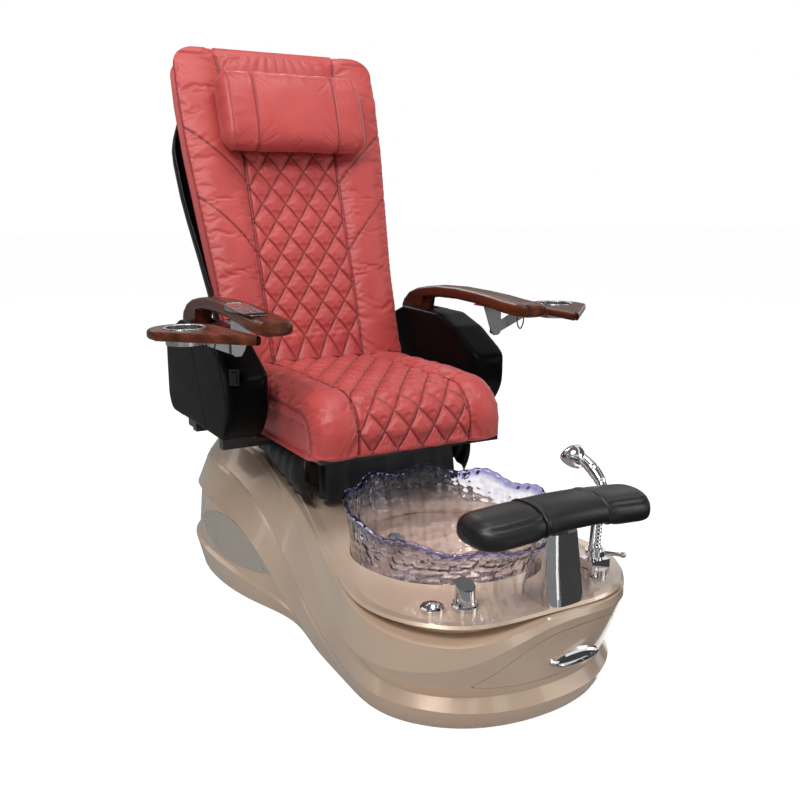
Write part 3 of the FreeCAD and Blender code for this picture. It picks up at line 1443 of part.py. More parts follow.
def rocker_parts():
    bezel = switch_tool(22.4, 36.4, 9, 1.2).cut(switch_tool(16.4, 28.4, 30, 15))
    paddle = switch_tool(15.6, 25, 6, 4)
    middle = Vector(-rocker_spot.x + rocker_way.x, rocker_spot.y - rocker_way.y, rocker_spot.z)
    axle = Part.makeCylinder(SWITCH_AXLE, 18.8, middle - rocker_way * 9.4, rocker_way)
    hollow = Part.makeCylinder(SWITCH_AXLE + 0.05, 19.2, middle - rocker_way * 9.6, rocker_way)
    return bezel.cut(hollow), paddle.fuse(axle)


switch_frame = keep(shaped("switch_frame_form", rocker_parts()[0]), "switch_frame")
seat_switch = keep(shaped("seat_switch_form", rocker_parts()[1]), "seat_switch")


# Armrests: bent hardwood, hinged at the rear inside the pods

ARM_ROWS = [(-250, 737, 22, 8), (-247, 737, 31, 13), (-238, 737, 37, 16.5), (-215, 738, 41, 18),
            (-160, 741, 42, 18), (-100, 747, 39, 17.5), (-20, 752, 35, 17), (80, 755, 31, 17),
            (180, 752, 27, 17), (250, 744, 24.5, 17), (300, 735, 23, 18), (340, 722, 23, 18),
            (366, 706, 23, 14), (378, 696, 21, 8)]


def arm_shape():
    x = S["arm_centre"]
    rest = capped_solid([oval_curve(Vector(x, y, z), wide, tall, 3.6, 28,
                                    (Vector(1, 0, 0), Vector(0, 0, 1))) for y, z, wide, tall in ARM_ROWS])
    leg = prism([Vector(x - 22.7, y, z) for y, z in ((258, 736), (372, 700), (352, 668), (322, 636),
                                                    (314, 622), (300, 617), (286, 622), (277, 640),
                                                    (272, 680))], Vector(45.4, 0, 0))
    whole = rest.fuse(leg)
    return whole.cut(Part.makeCylinder(S["arm_pin"] + 0.05, 200, Vector(x - 100, ARM_PIVOT.y, ARM_PIVOT.z),
                                       Vector(1, 0, 0)))


arm_form = biggest(arm_shape())
panel_tilt = FreeCAD.Placement(Vector(-352, -98, 762.5), FreeCAD.Rotation(Vector(1, 0, 0), -3.6))


def remote_shape():
    case = Part.makeBox(52, 170, 14, Vector(-26, -85, -4))
    corners = [edge for edge in case.Edges if abs(edge.tangentAt(0).z) > 0.9]
    case = case.makeFillet(7, corners)
    screen = Part.makeBox(40, 52, 3, Vector(-20, 22, 9.2))
    case = case.cut(screen)
    for row in range(5):
        for column in range(3):
            spot = Vector(-13 + 13 * column, -68 + 17 * row, 9)
            case = case.fuse(Part.makeCylinder(4.4, 2.2, spot))
    case.Placement = panel_tilt
    return case


def remote_pocket():
    pocket = Part.makeBox(52, 170, 40, Vector(-26, -85, -4))
    corners = [edge for edge in pocket.Edges if abs(edge.tangentAt(0).z) > 0.9]
    pocket = pocket.makeFillet(7, corners)
    pocket.Placement = panel_tilt
    return pocket


arm_left = keep(shaped("arm_form_left", arm_form), "arm_left")
arm_right = keep(shaped("arm_form_right", biggest(mirror(arm_form).cut(remote_pocket()))), "arm_right")
control_panel = keep(shaped("control_panel_form", biggest(remote_shape())), "control_panel")


# Swing-down trays with cup holders, hinged on brackets under the armrests

TRAY_PIVOT = Vector(S["tray_pivot_x"], S["tray_pivot_y"], S["tray_pivot_z"])
PLATE = S["plate_thick"]


def hull_curve(level, inset):
    """Outline round the cup circle and the small tip circle, at one height."""
    cup, tip = (S["cup_x"], S["cup_y"], S["tray_round"]), (416.0, -292.0, 15.0)
    points = []
    for i in range(44):
        turn = 2 * math.pi * i / 44
        out = (math.cos(turn), math.sin(turn))
        x, y, radius = max((cup, tip), key=lambda c: c[0] * out[0] + c[1] * out[1] + c[2])
        points.append(Vector(x + (radius - inset) * out[0], y + (radius - inset) * out[1], level))
    return closed_curve(points, even_marks(44))


def tray_shape():
    top, thick = S["tray_top"], S["tray_thick"]
    rows = [(top - thick, 6), (top - thick + 2, 2), (top - thick + 6, 0), (top - 6, 0), (top - 2, 2),
            (top, 6)]
    board = capped_solid([hull_curve(z, inset) for z, inset in rows])
    hole = Part.makeCylinder(S["cup_radius"] + 0.3, 80, Vector(S["cup_x"], S["cup_y"], 680))
    seat = Part.makeCylinder(S["cup_radius"] + 6.3, 10, Vector(S["cup_x"], S["cup_y"], top - 1.2))
    return board.cut(hole).cut(seat)


def cup_shape():
    top, radius, deep = S["tray_top"], S["cup_radius"], S["cup_deep"]
    spot = Vector(S["cup_x"], S["cup_y"], 0)
    wall = Part.makeCylinder(radius, deep + 1.2, spot + Vector(0, 0, top - 1.2 - deep))
    flange = Part.makeCylinder(radius + 6, 2.2, spot + Vector(0, 0, top - 1.2))
    inside = Part.makeCylinder(radius - 1.2, 80, spot + Vector(0, 0, top - deep))
    bead = Part.makeTorus(radius + 5, 1.4, spot + Vector(0, 0, top + 0.6))
    return wall.fuse([flange, bead]).cut(inside)


def bracket_shape():
    y = TRAY_PIVOT.y - 3
    plate = prism([Vector(314, y, 741), Vector(372, y, 741), Vector(372, y, 660), Vector(364, y, 653),
                   Vector(349, y, 653), Vector(340, y, 668)], Vector(0, -PLATE, 0))
    flange = Part.makeBox(58, 42, 4, Vector(314, y - PLATE, 731))
    pin = Part.makeCylinder(4, 18, Vector(TRAY_PIVOT.x, y - PLATE, TRAY_PIVOT.z), Vector(0, 1, 0))
    head = Part.makeCylinder(7, 3, Vector(TRAY_PIVOT.x, y + 12, TRAY_PIVOT.z), Vector(0, 1, 0))
    whole = plate.fuse([flange, pin, head])
    return biggest(whole.cut(arm_form))


def strut_shape():
    y = TRAY_PIVOT.y + 3.4
    top = S["tray_top"] - S["tray_thick"] - 0.3
    plate = prism([Vector(345, y, 659), Vector(352, y, 655), Vector(364, y, 655), Vector(470, y, 700),
                   Vector(480, y, top), Vector(428, y, top), Vector(345, y, 677)], Vector(0, PLATE, 0))
    flange = Part.makeBox(96, 40, PLATE, Vector(428, y - 36, top - PLATE))
    hub = Part.makeCylinder(9, 7.2, Vector(TRAY_PIVOT.x, y - 2, TRAY_PIVOT.z), Vector(0, 1, 0))
    whole = plate.fuse([flange, hub])
    whole = whole.cut(Part.makeCylinder(4.05, 60, Vector(TRAY_PIVOT.x, y - 30, TRAY_PIVOT.z),
                                        Vector(0, 1, 0)))
    clear = Part.makeCylinder(S["cup_radius"] + 1, 60, Vector(S["cup_x"], S["cup_y"], 660))
    return biggest(whole.cut(clear))


for word, side in (("left", lambda shape: shape), ("right", mirror)):
    keep(shaped("tray_bracket_form_" + word, side(bracket_shape())), "tray_bracket_" + word)
    keep(shaped("tray_strut_form_" + word, side(strut_shape())), "tray_strut_" + word)
    keep(shaped("tray_form_" + word, side(tray_shape())), "tray_" + word)
    keep(shaped("cup_form_" + word, side(cup_shape())), "cup_" + word)


# Check every object, then write one STEP file for each kept part

doc.recompute()
for thing in doc.Objects:
    faults = [word for word in thing.State if word in ("Invalid", "Error")]
    if faults:
        raise SystemExit("%s: %s" % (thing.Label, faults))

os.makedirs("parts", exist_ok=True)
for thing in kept:
    form = thing.Shape
    if form.isNull() or not form.isValid():
        raise SystemExit("%s: shape not valid" % thing.Label)
    form.exportStep("parts/%s.step" % thing.Label)
    print(thing.Label, len(form.Solids), round(form.Volume / 1000, 1))
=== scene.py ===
import json
import math

import bmesh
import bpy
import numpy as np
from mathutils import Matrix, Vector
from mathutils.bvhtree import BVHTree


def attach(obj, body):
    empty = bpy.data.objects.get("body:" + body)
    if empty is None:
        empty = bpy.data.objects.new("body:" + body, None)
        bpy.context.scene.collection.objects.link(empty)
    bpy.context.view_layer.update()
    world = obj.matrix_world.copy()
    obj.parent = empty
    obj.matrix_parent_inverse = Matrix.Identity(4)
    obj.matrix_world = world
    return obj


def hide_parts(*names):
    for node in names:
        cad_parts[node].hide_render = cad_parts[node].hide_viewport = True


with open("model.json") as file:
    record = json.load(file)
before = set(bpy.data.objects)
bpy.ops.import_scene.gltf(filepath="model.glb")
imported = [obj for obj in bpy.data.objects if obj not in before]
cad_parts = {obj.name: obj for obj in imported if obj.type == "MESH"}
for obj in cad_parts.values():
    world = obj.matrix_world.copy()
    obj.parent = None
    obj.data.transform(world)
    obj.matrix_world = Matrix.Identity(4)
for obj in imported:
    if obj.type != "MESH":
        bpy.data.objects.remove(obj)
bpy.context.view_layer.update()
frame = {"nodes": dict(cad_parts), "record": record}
NODES = frame["nodes"]

MM = 0.001
LEAN = math.radians(18)
BACK_FOOT = (290.0, 578.0)
SIDES = ((-1, "right"), (1, "left"))
WHITE = (1, 1, 1, 1)
EVEN = (1, 1, 1)


# Camera, stage and lamps

AMBIENT = 0.24
FLOOR_SIDE = 30.0
FLOOR_LEVEL = -0.0006
CARD_LEVEL = 0.001
STRIP_ENDS = (0.75, 7.0)


def place_object(name, data):
    thing = bpy.data.objects.new(name, data)
    bpy.context.scene.collection.objects.link(thing)
    return thing


def look_from(place, heading, pitch, lens):
    data = bpy.data.cameras.new("camera")
    data.sensor_width = 36.0
    data.lens = lens
    camera = place_object("camera", data)
    camera.location = place
    camera.rotation_euler = (math.radians(90 - pitch), 0, math.radians(-heading))
    bpy.context.scene.camera = camera


def lamp(name, place, aim, size, power):
    data = bpy.data.lights.new(name, "AREA")
    data.shape = "DISK"
    data.size = size
    data.energy = power
    light = place_object(name, data)
    light.location = place
    light.rotation_euler = (Vector(aim) - Vector(place)).to_track_quat("-Z", "Y").to_euler()


def paper_rays(tree):
    """1 for camera, glossy and transmitted rays."""
    path = tree.nodes.new("ShaderNodeLightPath")
    value = path.outputs["Is Camera Ray"]
    for name in ("Is Glossy Ray", "Is Transmission Ray"):
        top = tree.nodes.new("ShaderNodeMath")
        top.operation = "MAXIMUM"
        tree.links.new(value, top.inputs[0])
        tree.links.new(path.outputs[name], top.inputs[1])
        value = top.outputs[0]
    return value


def mix_shaders(tree, share, first, second, end):
    """The end node gets the first shader where share is 0 and the second where it is 1."""
    mix = tree.nodes.new("ShaderNodeMixShader")
    for number, socket in enumerate((share, first.outputs[0], second.outputs[0])):
        tree.links.new(socket, mix.inputs[number])
    tree.links.new(mix.outputs[0], tree.nodes[end].inputs[0])


def bare_card(name, corners):
    """Card of four corners and the nodes of its material, which has no shader yet."""
    mesh = bpy.data.meshes.new(name)
    mesh.from_pydata(corners, [], [(0, 1, 2, 3)])
    mat = bpy.data.materials.new(name)
    mat.use_nodes = True
    mesh.materials.append(mat)
    mat.node_tree.nodes.remove(mat.node_tree.nodes["Principled BSDF"])
    return place_object(name, mesh), mat.node_tree


def level_card(x0, y0, x1, y1, z):
    return [(x0, y0, z), (x1, y0, z), (x1, y1, z), (x0, y1, z)]


def upright(x0, y0, x1, y1, low, high):
    return [(x0, y0, low), (x1, y1, low), (x1, y1, high), (x0, y0, high)]


def floor_strip(near_side, far_side):
    """Floor card that runs the way the camera looks once chrome turns it back."""
    start, stop = STRIP_ENDS
    ends = ((near_side, start), (far_side, start), (far_side, stop), (near_side, stop))
    return [(0.872 * s + 0.489 * t, 0.489 * s - 0.872 * t, CARD_LEVEL) for s, t in ends]


def studio_world():
    """Dim light for the object, white paper for the rays that see the backdrop."""
    world = bpy.data.worlds.new("studio")
    bpy.context.scene.world = world
    world.use_nodes = True
    tree = world.node_tree
    dim = tree.nodes["Background"]
    paper = tree.nodes.new("ShaderNodeBackground")
    for shader, strength in ((dim, AMBIENT), (paper, 1.0)):
        shader.inputs["Color"].default_value = WHITE
        shader.inputs["Strength"].default_value = strength
    mix_shaders(tree, paper_rays(tree), dim, paper, "World Output")


def studio_floor():
    sides = (-FLOOR_SIDE, -FLOOR_SIDE, FLOOR_SIDE, FLOOR_SIDE)
    floor, tree = bare_card("floor", level_card(*sides, FLOOR_LEVEL))
    diffuse = tree.nodes.new("ShaderNodeBsdfDiffuse")
    diffuse.inputs["Color"].default_value = (0.9, 0.9, 0.9, 1)
    glow = tree.nodes.new("ShaderNodeEmission")
    glow.inputs["Strength"].default_value = 1.46
    share = tree.nodes.new("ShaderNodeMath")
    share.operation = "MULTIPLY"
    share.inputs[1].default_value = 0.62
    tree.links.new(paper_rays(tree), share.inputs[0])
    mix_shaders(tree, share.outputs[0], diffuse, glow, "Material Output")


def studio_flag(name, corners, level):
    """Dark card that only reflections see, as a photographer hangs them round chrome."""
    card, tree = bare_card(name, corners)
    glow = tree.nodes.new("ShaderNodeEmission")
    glow.inputs["Color"].default_value = (level, level, level, 1)
    tree.links.new(glow.outputs[0], tree.nodes["Material Output"].inputs[0])
    for rays in ("camera", "diffuse", "shadow", "transmission", "volume_scatter"):
        setattr(card, "visible_" + rays, False)


FLAGS = (
    ("flag_top", level_card(-3.4, -3.6, 3.4, 3.4, 4.6), 0.16),
    ("flag_left", upright(-4.2, -2.6, -4.2, 6.2, 0.3, 4.0), 0.10),
    ("flag_front_left", upright(-3.0, -5.0, -1.5, -5.0, 0.3, 4.2), 0.06),
    ("flag_front", upright(-0.7, -5.2, 0.35, -5.2, 0.25, 4.2), 0.06),
    ("flag_front_right", upright(1.2, -5.0, 2.6, -4.6, 0.3, 4.2), 0.08),
    ("flag_right", upright(4.2, -2.4, 4.2, 1.6, 0.4, 4.0), 0.10),
    ("flag_rear", upright(-4.6, 5.6, 7.5, 5.6, 0.0, 3.0), 0.22),
    ("flag_floor_rear", level_card(-7, -0.2, 8, 8, CARD_LEVEL), 0.28),
    ("flag_floor_left", level_card(-6, -6, 0.20, -0.2, CARD_LEVEL), 0.24),
    ("flag_floor_edge", floor_strip(-0.42, -0.352), 0.05),
    ("flag_floor_front", floor_strip(-0.343, -0.306), 0.04),
    ("flag_floor_right", floor_strip(-0.302, 5.0), 0.06),
)

look_from((-1.0514, -2.0414, 0.9947), heading=29.31, pitch=12.051, lens=41.48)
lamp("key", (-2.1, -1.9, 3.3), (0.0, 0.0, 0.6), 1.3, 92)
lamp("top", (0.3, -0.7, 4.1), (0.0, -0.1, 0.5), 2.0, 62)
lamp("side", (3.0, -2.2, 2.0), (0.1, 0.0, 0.6), 1.4, 16)
lamp("rear", (0.6, 3.0, 2.8), (0.0, 0.2, 0.8), 1.8, 34)
studio_world()
studio_floor()
for flag in FLAGS:
    studio_flag(*flag)
bpy.context.scene.view_settings.view_transform = "Standard"


# Finishes

def tone(red, green, blue):
    """Linear colour of an 8-bit display colour."""
    values = []
    for level in (red, green, blue):
        share = level / 255
        values.append(share / 12.92 if share < 0.04045 else ((share + 0.055) / 1.055) ** 2.4)
    return (*values, 1.0)


def scaled(colour, factor, lift=0.0):
    return (*(min(1.0, level * factor + lift) for level in colour[:3]), 1)


class Finish:
    """A Principled material with helpers for procedural detail."""

    def __init__(self, name, **values):
        self.mat = bpy.data.materials.new(name)
        self.mat.use_nodes = True
        self.tree = self.mat.node_tree
        self.surface = self.tree.nodes["Principled BSDF"]
        self.normal = None
        self.fill(self.surface, values)

    def fill(self, node, values):
        """Numbers for a node's sockets, by name with _ for a space."""
        for key, value in values.items():
            node.inputs[key.replace("_", " ")].default_value = value

    def node(self, kind, **values):
        made = self.tree.nodes.new(kind)
        for key, value in values.items():
            setattr(made, key, value)
        return made

    def link(self, source, target):
        self.tree.links.new(source, target)

    def texture(self, kind, stretch, **values):
        """Texture node in the object's own space."""
        place = self.node("ShaderNodeTexCoord")
        space = self.node("ShaderNodeMapping")
        self.fill(space, {"Scale": stretch})
        self.link(place.outputs["Object"], space.inputs["Vector"])
        made = self.node(kind)
        self.fill(made, values)
        self.link(space.outputs["Vector"], made.inputs["Vector"])
        return made

    def noise(self, scale, detail, stretch=EVEN, twist=0.0):
        made = self.texture("ShaderNodeTexNoise", stretch, Scale=scale, Detail=detail, Distortion=twist)
        return made.outputs["Fac"]

    def cells(self, scale, output="Distance"):
        return self.texture("ShaderNodeTexVoronoi", EVEN, Scale=scale).outputs[output]

    def waves(self, scale, twist, stretch):
        made = self.texture("ShaderNodeTexWave", stretch, Scale=scale, Distortion=twist, Detail=3.0,
                            Detail_Scale=1.4)
        return made.outputs["Fac"]

    def painted(self, name):
        return self.node("ShaderNodeAttribute", attribute_name=name).outputs["Fac"]

    def ramp(self, value, stops):
        made = self.node("ShaderNodeValToRGB")
        points = made.color_ramp.elements
        while len(points) < len(stops):
            points.new(0.5)
        for point, (place, colour) in zip(points, stops):
            point.position = place
            point.color = colour
        self.link(value, made.inputs["Fac"])
        return made.outputs["Color"]

    def tones(self, value, first, second):
        return self.ramp(value, [(0.3, first), (0.7, second)])

    def mix(self, share, first, second, way="MIX"):
        made = self.node("ShaderNodeMix", data_type="RGBA", blend_type=way)
        for target, value in ((0, share), (6, first), (7, second)):
            if isinstance(value, (tuple, float)):
                made.inputs[target].default_value = value
            else:
                self.link(value, made.inputs[target])
        return made.outputs[2]

    def sum(self, *pairs):
        """Weighted sum of sockets."""
        total = None
        for value, weight in pairs:
            part = self.node("ShaderNodeMath", operation="MULTIPLY_ADD")
            self.link(value, part.inputs[0])
            part.inputs[1].default_value = weight
            if total is None:
                part.inputs[2].default_value = 0.0
            else:
                self.link(total, part.inputs[2])
            total = part.outputs[0]
        return total

    def colour(self, socket):
        self.link(socket, self.surface.inputs["Base Color"])

    def rough(self, value, low, high):
        made = self.node("ShaderNodeMapRange")
        self.fill(made, {"From_Min": 0.25, "From_Max": 0.75, "To_Min": low, "To_Max": high})
        self.link(value, made.inputs["Value"])
        self.link(made.outputs["Result"], self.surface.inputs["Roughness"])

    def bump(self, height, depth, strength):
        made = self.node("ShaderNodeBump")
        self.fill(made, {"Distance": depth, "Strength": strength})
        self.link(height, made.inputs["Height"])
        if self.normal is not None:
            self.link(self.normal, made.inputs["Normal"])
        self.normal = made.outputs["Normal"]
        self.link(self.normal, self.surface.inputs["Normal"])


def leather(name, deep, mid, high, shine, sheen, gloss=0.5):
    """Grained, lightly creased leather, with painted shade along its seam grooves, read from the seam
    attribute.
    """
    f = Finish(name, Sheen_Weight=sheen, Sheen_Roughness=0.45, Specular_IOR_Level=gloss)
    cloudy = f.noise(9, 5)
    pores = f.cells(620)
    creases = f.noise(160, 6, twist=0.6)
    body = f.ramp(cloudy, [(0.25, mid), (0.75, high)])
    grained = f.mix(f.ramp(pores, [(0.0, WHITE), (0.45, (0, 0, 0, 1))]), body, deep)
    faint = f.mix(0.16, body, grained)
    # Painted shade: the seam attribute mixes the colour towards the deep tone along the seam grooves.
    f.colour(f.mix(f.painted("seam"), faint, deep))
    f.rough(f.sum((cloudy, 0.5), (creases, 0.5)), shine - 0.07, shine + 0.09)
    f.bump(pores, 0.00022, 0.6)
    f.bump(creases, 0.0007, 0.35)
    return f.mat


def metal(name, base, low, high, grain=EVEN, scale=40, depth=0.0, worn=None, share=1.0):
    f = Finish(name, Metallic=share)
    mottle = f.noise(scale, 5, grain)
    f.colour(f.tones(mottle, worn or scaled(base, 0.86), scaled(base, 1.06)))
    f.rough(mottle, low, high)
    if depth:
        f.bump(mottle, depth, 0.5)
    return f.mat


def plastic(name, base, low, high, texture=700, depth=0.00012, coat=0.0):
    f = Finish(name, Coat_Weight=coat, Coat_Roughness=0.08)
    mottle = f.noise(14, 4)
    pebble = f.noise(texture, 3)
    f.colour(f.tones(mottle, scaled(base, 0.88), scaled(base, 1.12, 0.002)))
    f.rough(f.sum((mottle, 0.6), (pebble, 0.4)), low, high)
    f.bump(pebble, depth, 0.7)
    return f.mat


def pearl_gloss():
    f = Finish("champagne_gloss", Metallic=0.3, Coat_Weight=0.9, Coat_Roughness=0.04)
    body = f.tones(f.noise(3.2, 3), tone(201, 175, 153), tone(211, 187, 165))
    f.colour(f.mix(0.07, body, f.cells(2600, "Color"), "OVERLAY"))
    f.rough(f.noise(1200, 2), 0.26, 0.36)
    f.bump(f.noise(55, 2), 0.0002, 0.25)
    return f.mat


def cherry_wood():
    f = Finish("cherry_wood", Coat_Weight=0.2, Coat_Roughness=0.06, Specular_IOR_Level=0.12)
    grain = f.noise(46, 7, (1.0, 0.07, 1.0), 0.8)
    pores = f.noise(760, 4, (1.0, 0.03, 1.0))
    rings = f.waves(7, 3.0, (1.0, 0.06, 1.0))
    figure = f.sum((grain, 0.75), (rings, 0.25))
    body = f.ramp(figure, [(0.25, tone(54, 25, 15)), (0.48, tone(80, 38, 22)),
                           (0.66, tone(98, 48, 28)), (0.85, tone(120, 62, 38))])
    dark_pores = f.ramp(pores, [(0.30, (0.55, 0.5, 0.5, 1)), (0.5, WHITE)])
    f.colour(f.mix(0.6, body, dark_pores, "MULTIPLY"))
    f.rough(grain, 0.22, 0.34)
    f.bump(pores, 0.00012, 0.4)
    return f.mat


def clear_resin():
    """Clear resin with painted shade along the ridges between its dents, and lilac at its rim."""
    f = Finish("clear_resin", Transmission_Weight=1.0, IOR=1.46)
    body = f.tones(f.noise(18, 3), tone(232, 229, 237), tone(240, 237, 242))
    # Painted shade: the ridge attribute darkens the tint between the dents.
    ridge_shaded = f.mix(f.painted("ridge"), body, tone(176, 165, 172))
    f.colour(f.mix(f.painted("rim"), ridge_shaded, tone(132, 128, 188)))
    f.rough(f.noise(240, 3), 0.01, 0.05)
    f.bump(f.noise(140, 3), 0.0004, 0.3)
    return f.mat


def clear_plastic():
    f = Finish("clear_plastic", Transmission_Weight=0.85, IOR=1.45)
    cloudy = f.noise(30, 3)
    f.colour(f.tones(cloudy, tone(205, 208, 214), tone(228, 230, 236)))
    f.rough(cloudy, 0.05, 0.16)
    f.bump(f.noise(300, 3), 0.0002, 0.3)
    return f.mat


def panel_glass():
    f = Finish("panel_plastic", Coat_Weight=0.8, Coat_Roughness=0.06)
    cloudy = f.noise(50, 4)
    f.colour(f.tones(cloudy, tone(92, 66, 66), tone(116, 86, 84)))
    f.rough(cloudy, 0.16, 0.28)
    f.bump(f.noise(500, 2), 0.00008, 0.4)
    return f.mat


BRUSHED = (1, 1, 0.2)
FINISHES = {
    "champagne_gloss": pearl_gloss(),
    "chrome": metal("chrome", tone(222, 222, 224), 0.03, 0.07, scale=26, worn=tone(214, 214, 217)),
    "brushed_plate": metal("brushed_plate", tone(196, 188, 178), 0.3, 0.38, (0.03, 0.03, 1), 900,
                           0.00002, tone(182, 174, 165), 0.55),
    "clear_resin": clear_resin(),
    "pipe_plastic": plastic("pipe_plastic", tone(205, 205, 200), 0.3, 0.45),
    "clear_plastic": clear_plastic(),
    "black_plastic": plastic("black_plastic", tone(26, 26, 28), 0.3, 0.46, 900, 0.00015),
    "black_tube": plastic("black_tube", tone(24, 24, 25), 0.28, 0.42, 300, 0.0001, 0.3),
    "rubber_feet": plastic("rubber_feet", tone(30, 30, 30), 0.62, 0.8, 500, 0.0002),
    "steel": metal("steel", tone(168, 168, 170), 0.26, 0.42, BRUSHED, 220, 0.00008),
    "black_leather": leather("black_leather", tone(4, 4, 5), tone(13, 13, 14), tone(24, 24, 25),
                             0.36, 0.0, 0.4),
    "red_leather": leather("red_leather", tone(98, 24, 27), tone(175, 60, 58), tone(192, 75, 71),
                           0.46, 0.14),
    "roller_rubber": plastic("roller_rubber", tone(70, 68, 66), 0.55, 0.75, 400, 0.0002),
    "cherry_wood": cherry_wood(),
    "panel_plastic": panel_glass(),
}
CUP_STEEL = metal("cup_steel", tone(196, 196, 198), 0.2, 0.3, BRUSHED, 260, 0.00003)
# Painted shade: a darker, less shiny copy of the black leather, for the pods only.
SHADED_POD_LEATHER = leather("pod_leather", tone(3, 3, 4), tone(7, 7, 8), tone(13, 13, 14), 0.32, 0.0, 0.04)


def finish(slot):
    """Material and slot of a piece that is finished as the CAD nodes of a slot are."""
    return FINISHES[slot], slot


RED = finish("red_leather")
BLACK = finish("black_leather")
POD = (SHADED_POD_LEATHER, "black_leather")
RED_THREAD = (plastic("thread_red", tone(120, 30, 34), 0.5, 0.7, 2500, 0.0001), "red_leather")
BLACK_THREAD = (plastic("thread_black", tone(46, 46, 48), 0.5, 0.7, 2500, 0.0001), "black_leather")

slot_of = {part["node"]: part["material_slot"] for part in frame["record"]["subparts"]}
for node_name, thing in NODES.items():
    for place in thing.material_slots:
        place.material = CUP_STEEL if node_name.startswith("cup_") else FINISHES[slot_of[node_name]]


# Meshes from grids of points

SETTLE_FRAMES = 18


def unit(vector):
    return vector / max(np.linalg.norm(vector), 1e-9)


def units(vectors):
    return vectors / np.maximum(np.linalg.norm(vectors, axis=-1, keepdims=True), 1e-9)


def turns(count, shift=0.5):
    """Angles of evenly spaced points round a ring."""
    return 2 * math.pi * (np.arange(count) + shift) / count


def squared(wave, power):
    """A sine or cosine with fuller shoulders."""
    return np.sign(wave) * np.abs(wave) ** power


def run_along(points):
    """Length of a line of points up to each of them."""
    return np.concatenate([[0], np.cumsum(np.linalg.norm(np.diff(points, axis=0), axis=1))])


def face_outward(mesh):
    work = bmesh.new()
    work.from_mesh(mesh)
    bmesh.ops.recalc_face_normals(work, faces=work.faces)
    work.to_mesh(mesh)
    work.free()


def link_mesh(name, points, faces, look, body, closed=True):
    """Piece of a body from points in millimetres, with faces turned outward where it is closed."""
    material, slot = look
    mesh = bpy.data.meshes.new(name)
    mesh.from_pydata((np.asarray(points) * MM).tolist(), [], faces)
    mesh.materials.append(material)
    if closed:
        face_outward(mesh)
    mesh.polygons.foreach_set("use_smooth", [True] * len(mesh.polygons))
    piece = place_object(name, mesh)
    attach(piece, body)
    return piece


def paint(piece, name, values):
    layer = piece.data.attributes.new(name, "FLOAT", "POINT")
    flat = np.zeros(len(piece.data.vertices), np.float32)
    flat[:values.size] = values.reshape(-1)
    layer.data.foreach_set("value", flat)


def link_grid(name, grid, look, body, seam, closed=True):
    """Piece from a grid of points, with painted shade along its seams, stored for the leather to darken
    by.
    """
    faces = grid_faces(*grid.shape[:2], closed, closed)
    piece = link_mesh(name, grid.reshape(-1, 3), faces, look, body, closed)
    # The seam attribute carries painted shade along the seam grooves.
    paint(piece, "seam", seam)
    return piece


def grid_faces(rows, columns, ring, ladder):
    """Quads over rows of points; a ring closes each row, ladders shut its two ends."""
    faces = []
    for i in range(rows - 1):
        here = i * columns
        for j in range(columns if ring else columns - 1):
            k = (j + 1) % columns
            faces.append((here + j, here + k, here + columns + k, here + columns + j))
    if ladder:
        for start in (0, (rows - 1) * columns):
            for j in range(columns // 2 - 1):
                faces.append((start + j, start + j + 1, start + columns - 2 - j, start + columns - 1 - j))
    return faces


def end_faces(rows, columns):
    """One face over the first row of a ringed grid and one over the last."""
    return [tuple(range(columns)), tuple((rows - 1) * columns + k for k in range(columns))]


def joined(parts):
    """Several (points, faces) pairs as one."""
    points, faces, count = [], [], 0
    for part, part_faces in parts:
        points.append(part)
        faces += [tuple(count + k for k in face) for face in part_faces]
        count += len(part)
    return np.concatenate(points), faces


def finer(values, axis, ring):
    """Twice as many points along an axis, on a smooth line through the old ones."""
    work = np.moveaxis(values, axis, 0)
    if ring:
        before, after, far = np.roll(work, 1, 0), np.roll(work, -1, 0), np.roll(work, -2, 0)
        middle = (9 * (work + after) - before - far) / 16
    else:
        wide = np.concatenate([2 * work[:1] - work[1:2], work, 2 * work[-1:] - work[-2:-1]])
        middle = (9 * (wide[1:-2] + wide[2:-1]) - wide[:-3] - wide[3:]) / 16
    out = np.empty((len(work) + len(middle),) + work.shape[1:])
    out[0::2] = work
    out[1::2] = middle
    return np.moveaxis(out, 0, axis)


def finer_both(values):
    """Twice as many points along the rows and round them."""
    return finer(finer(values, 0, False), 1, True)


def grid_normals(grid, ring=True):
    along = np.gradient(grid, axis=0)
    around = (np.roll(grid, -1, 1) - np.roll(grid, 1, 1)) if ring else np.gradient(grid, axis=1)
    normal = units(np.cross(along, around))
    middle = grid.reshape(-1, 3).mean(0)
    if ring and (normal * (grid - middle)).sum() < 0:
        normal = -normal
    return normal


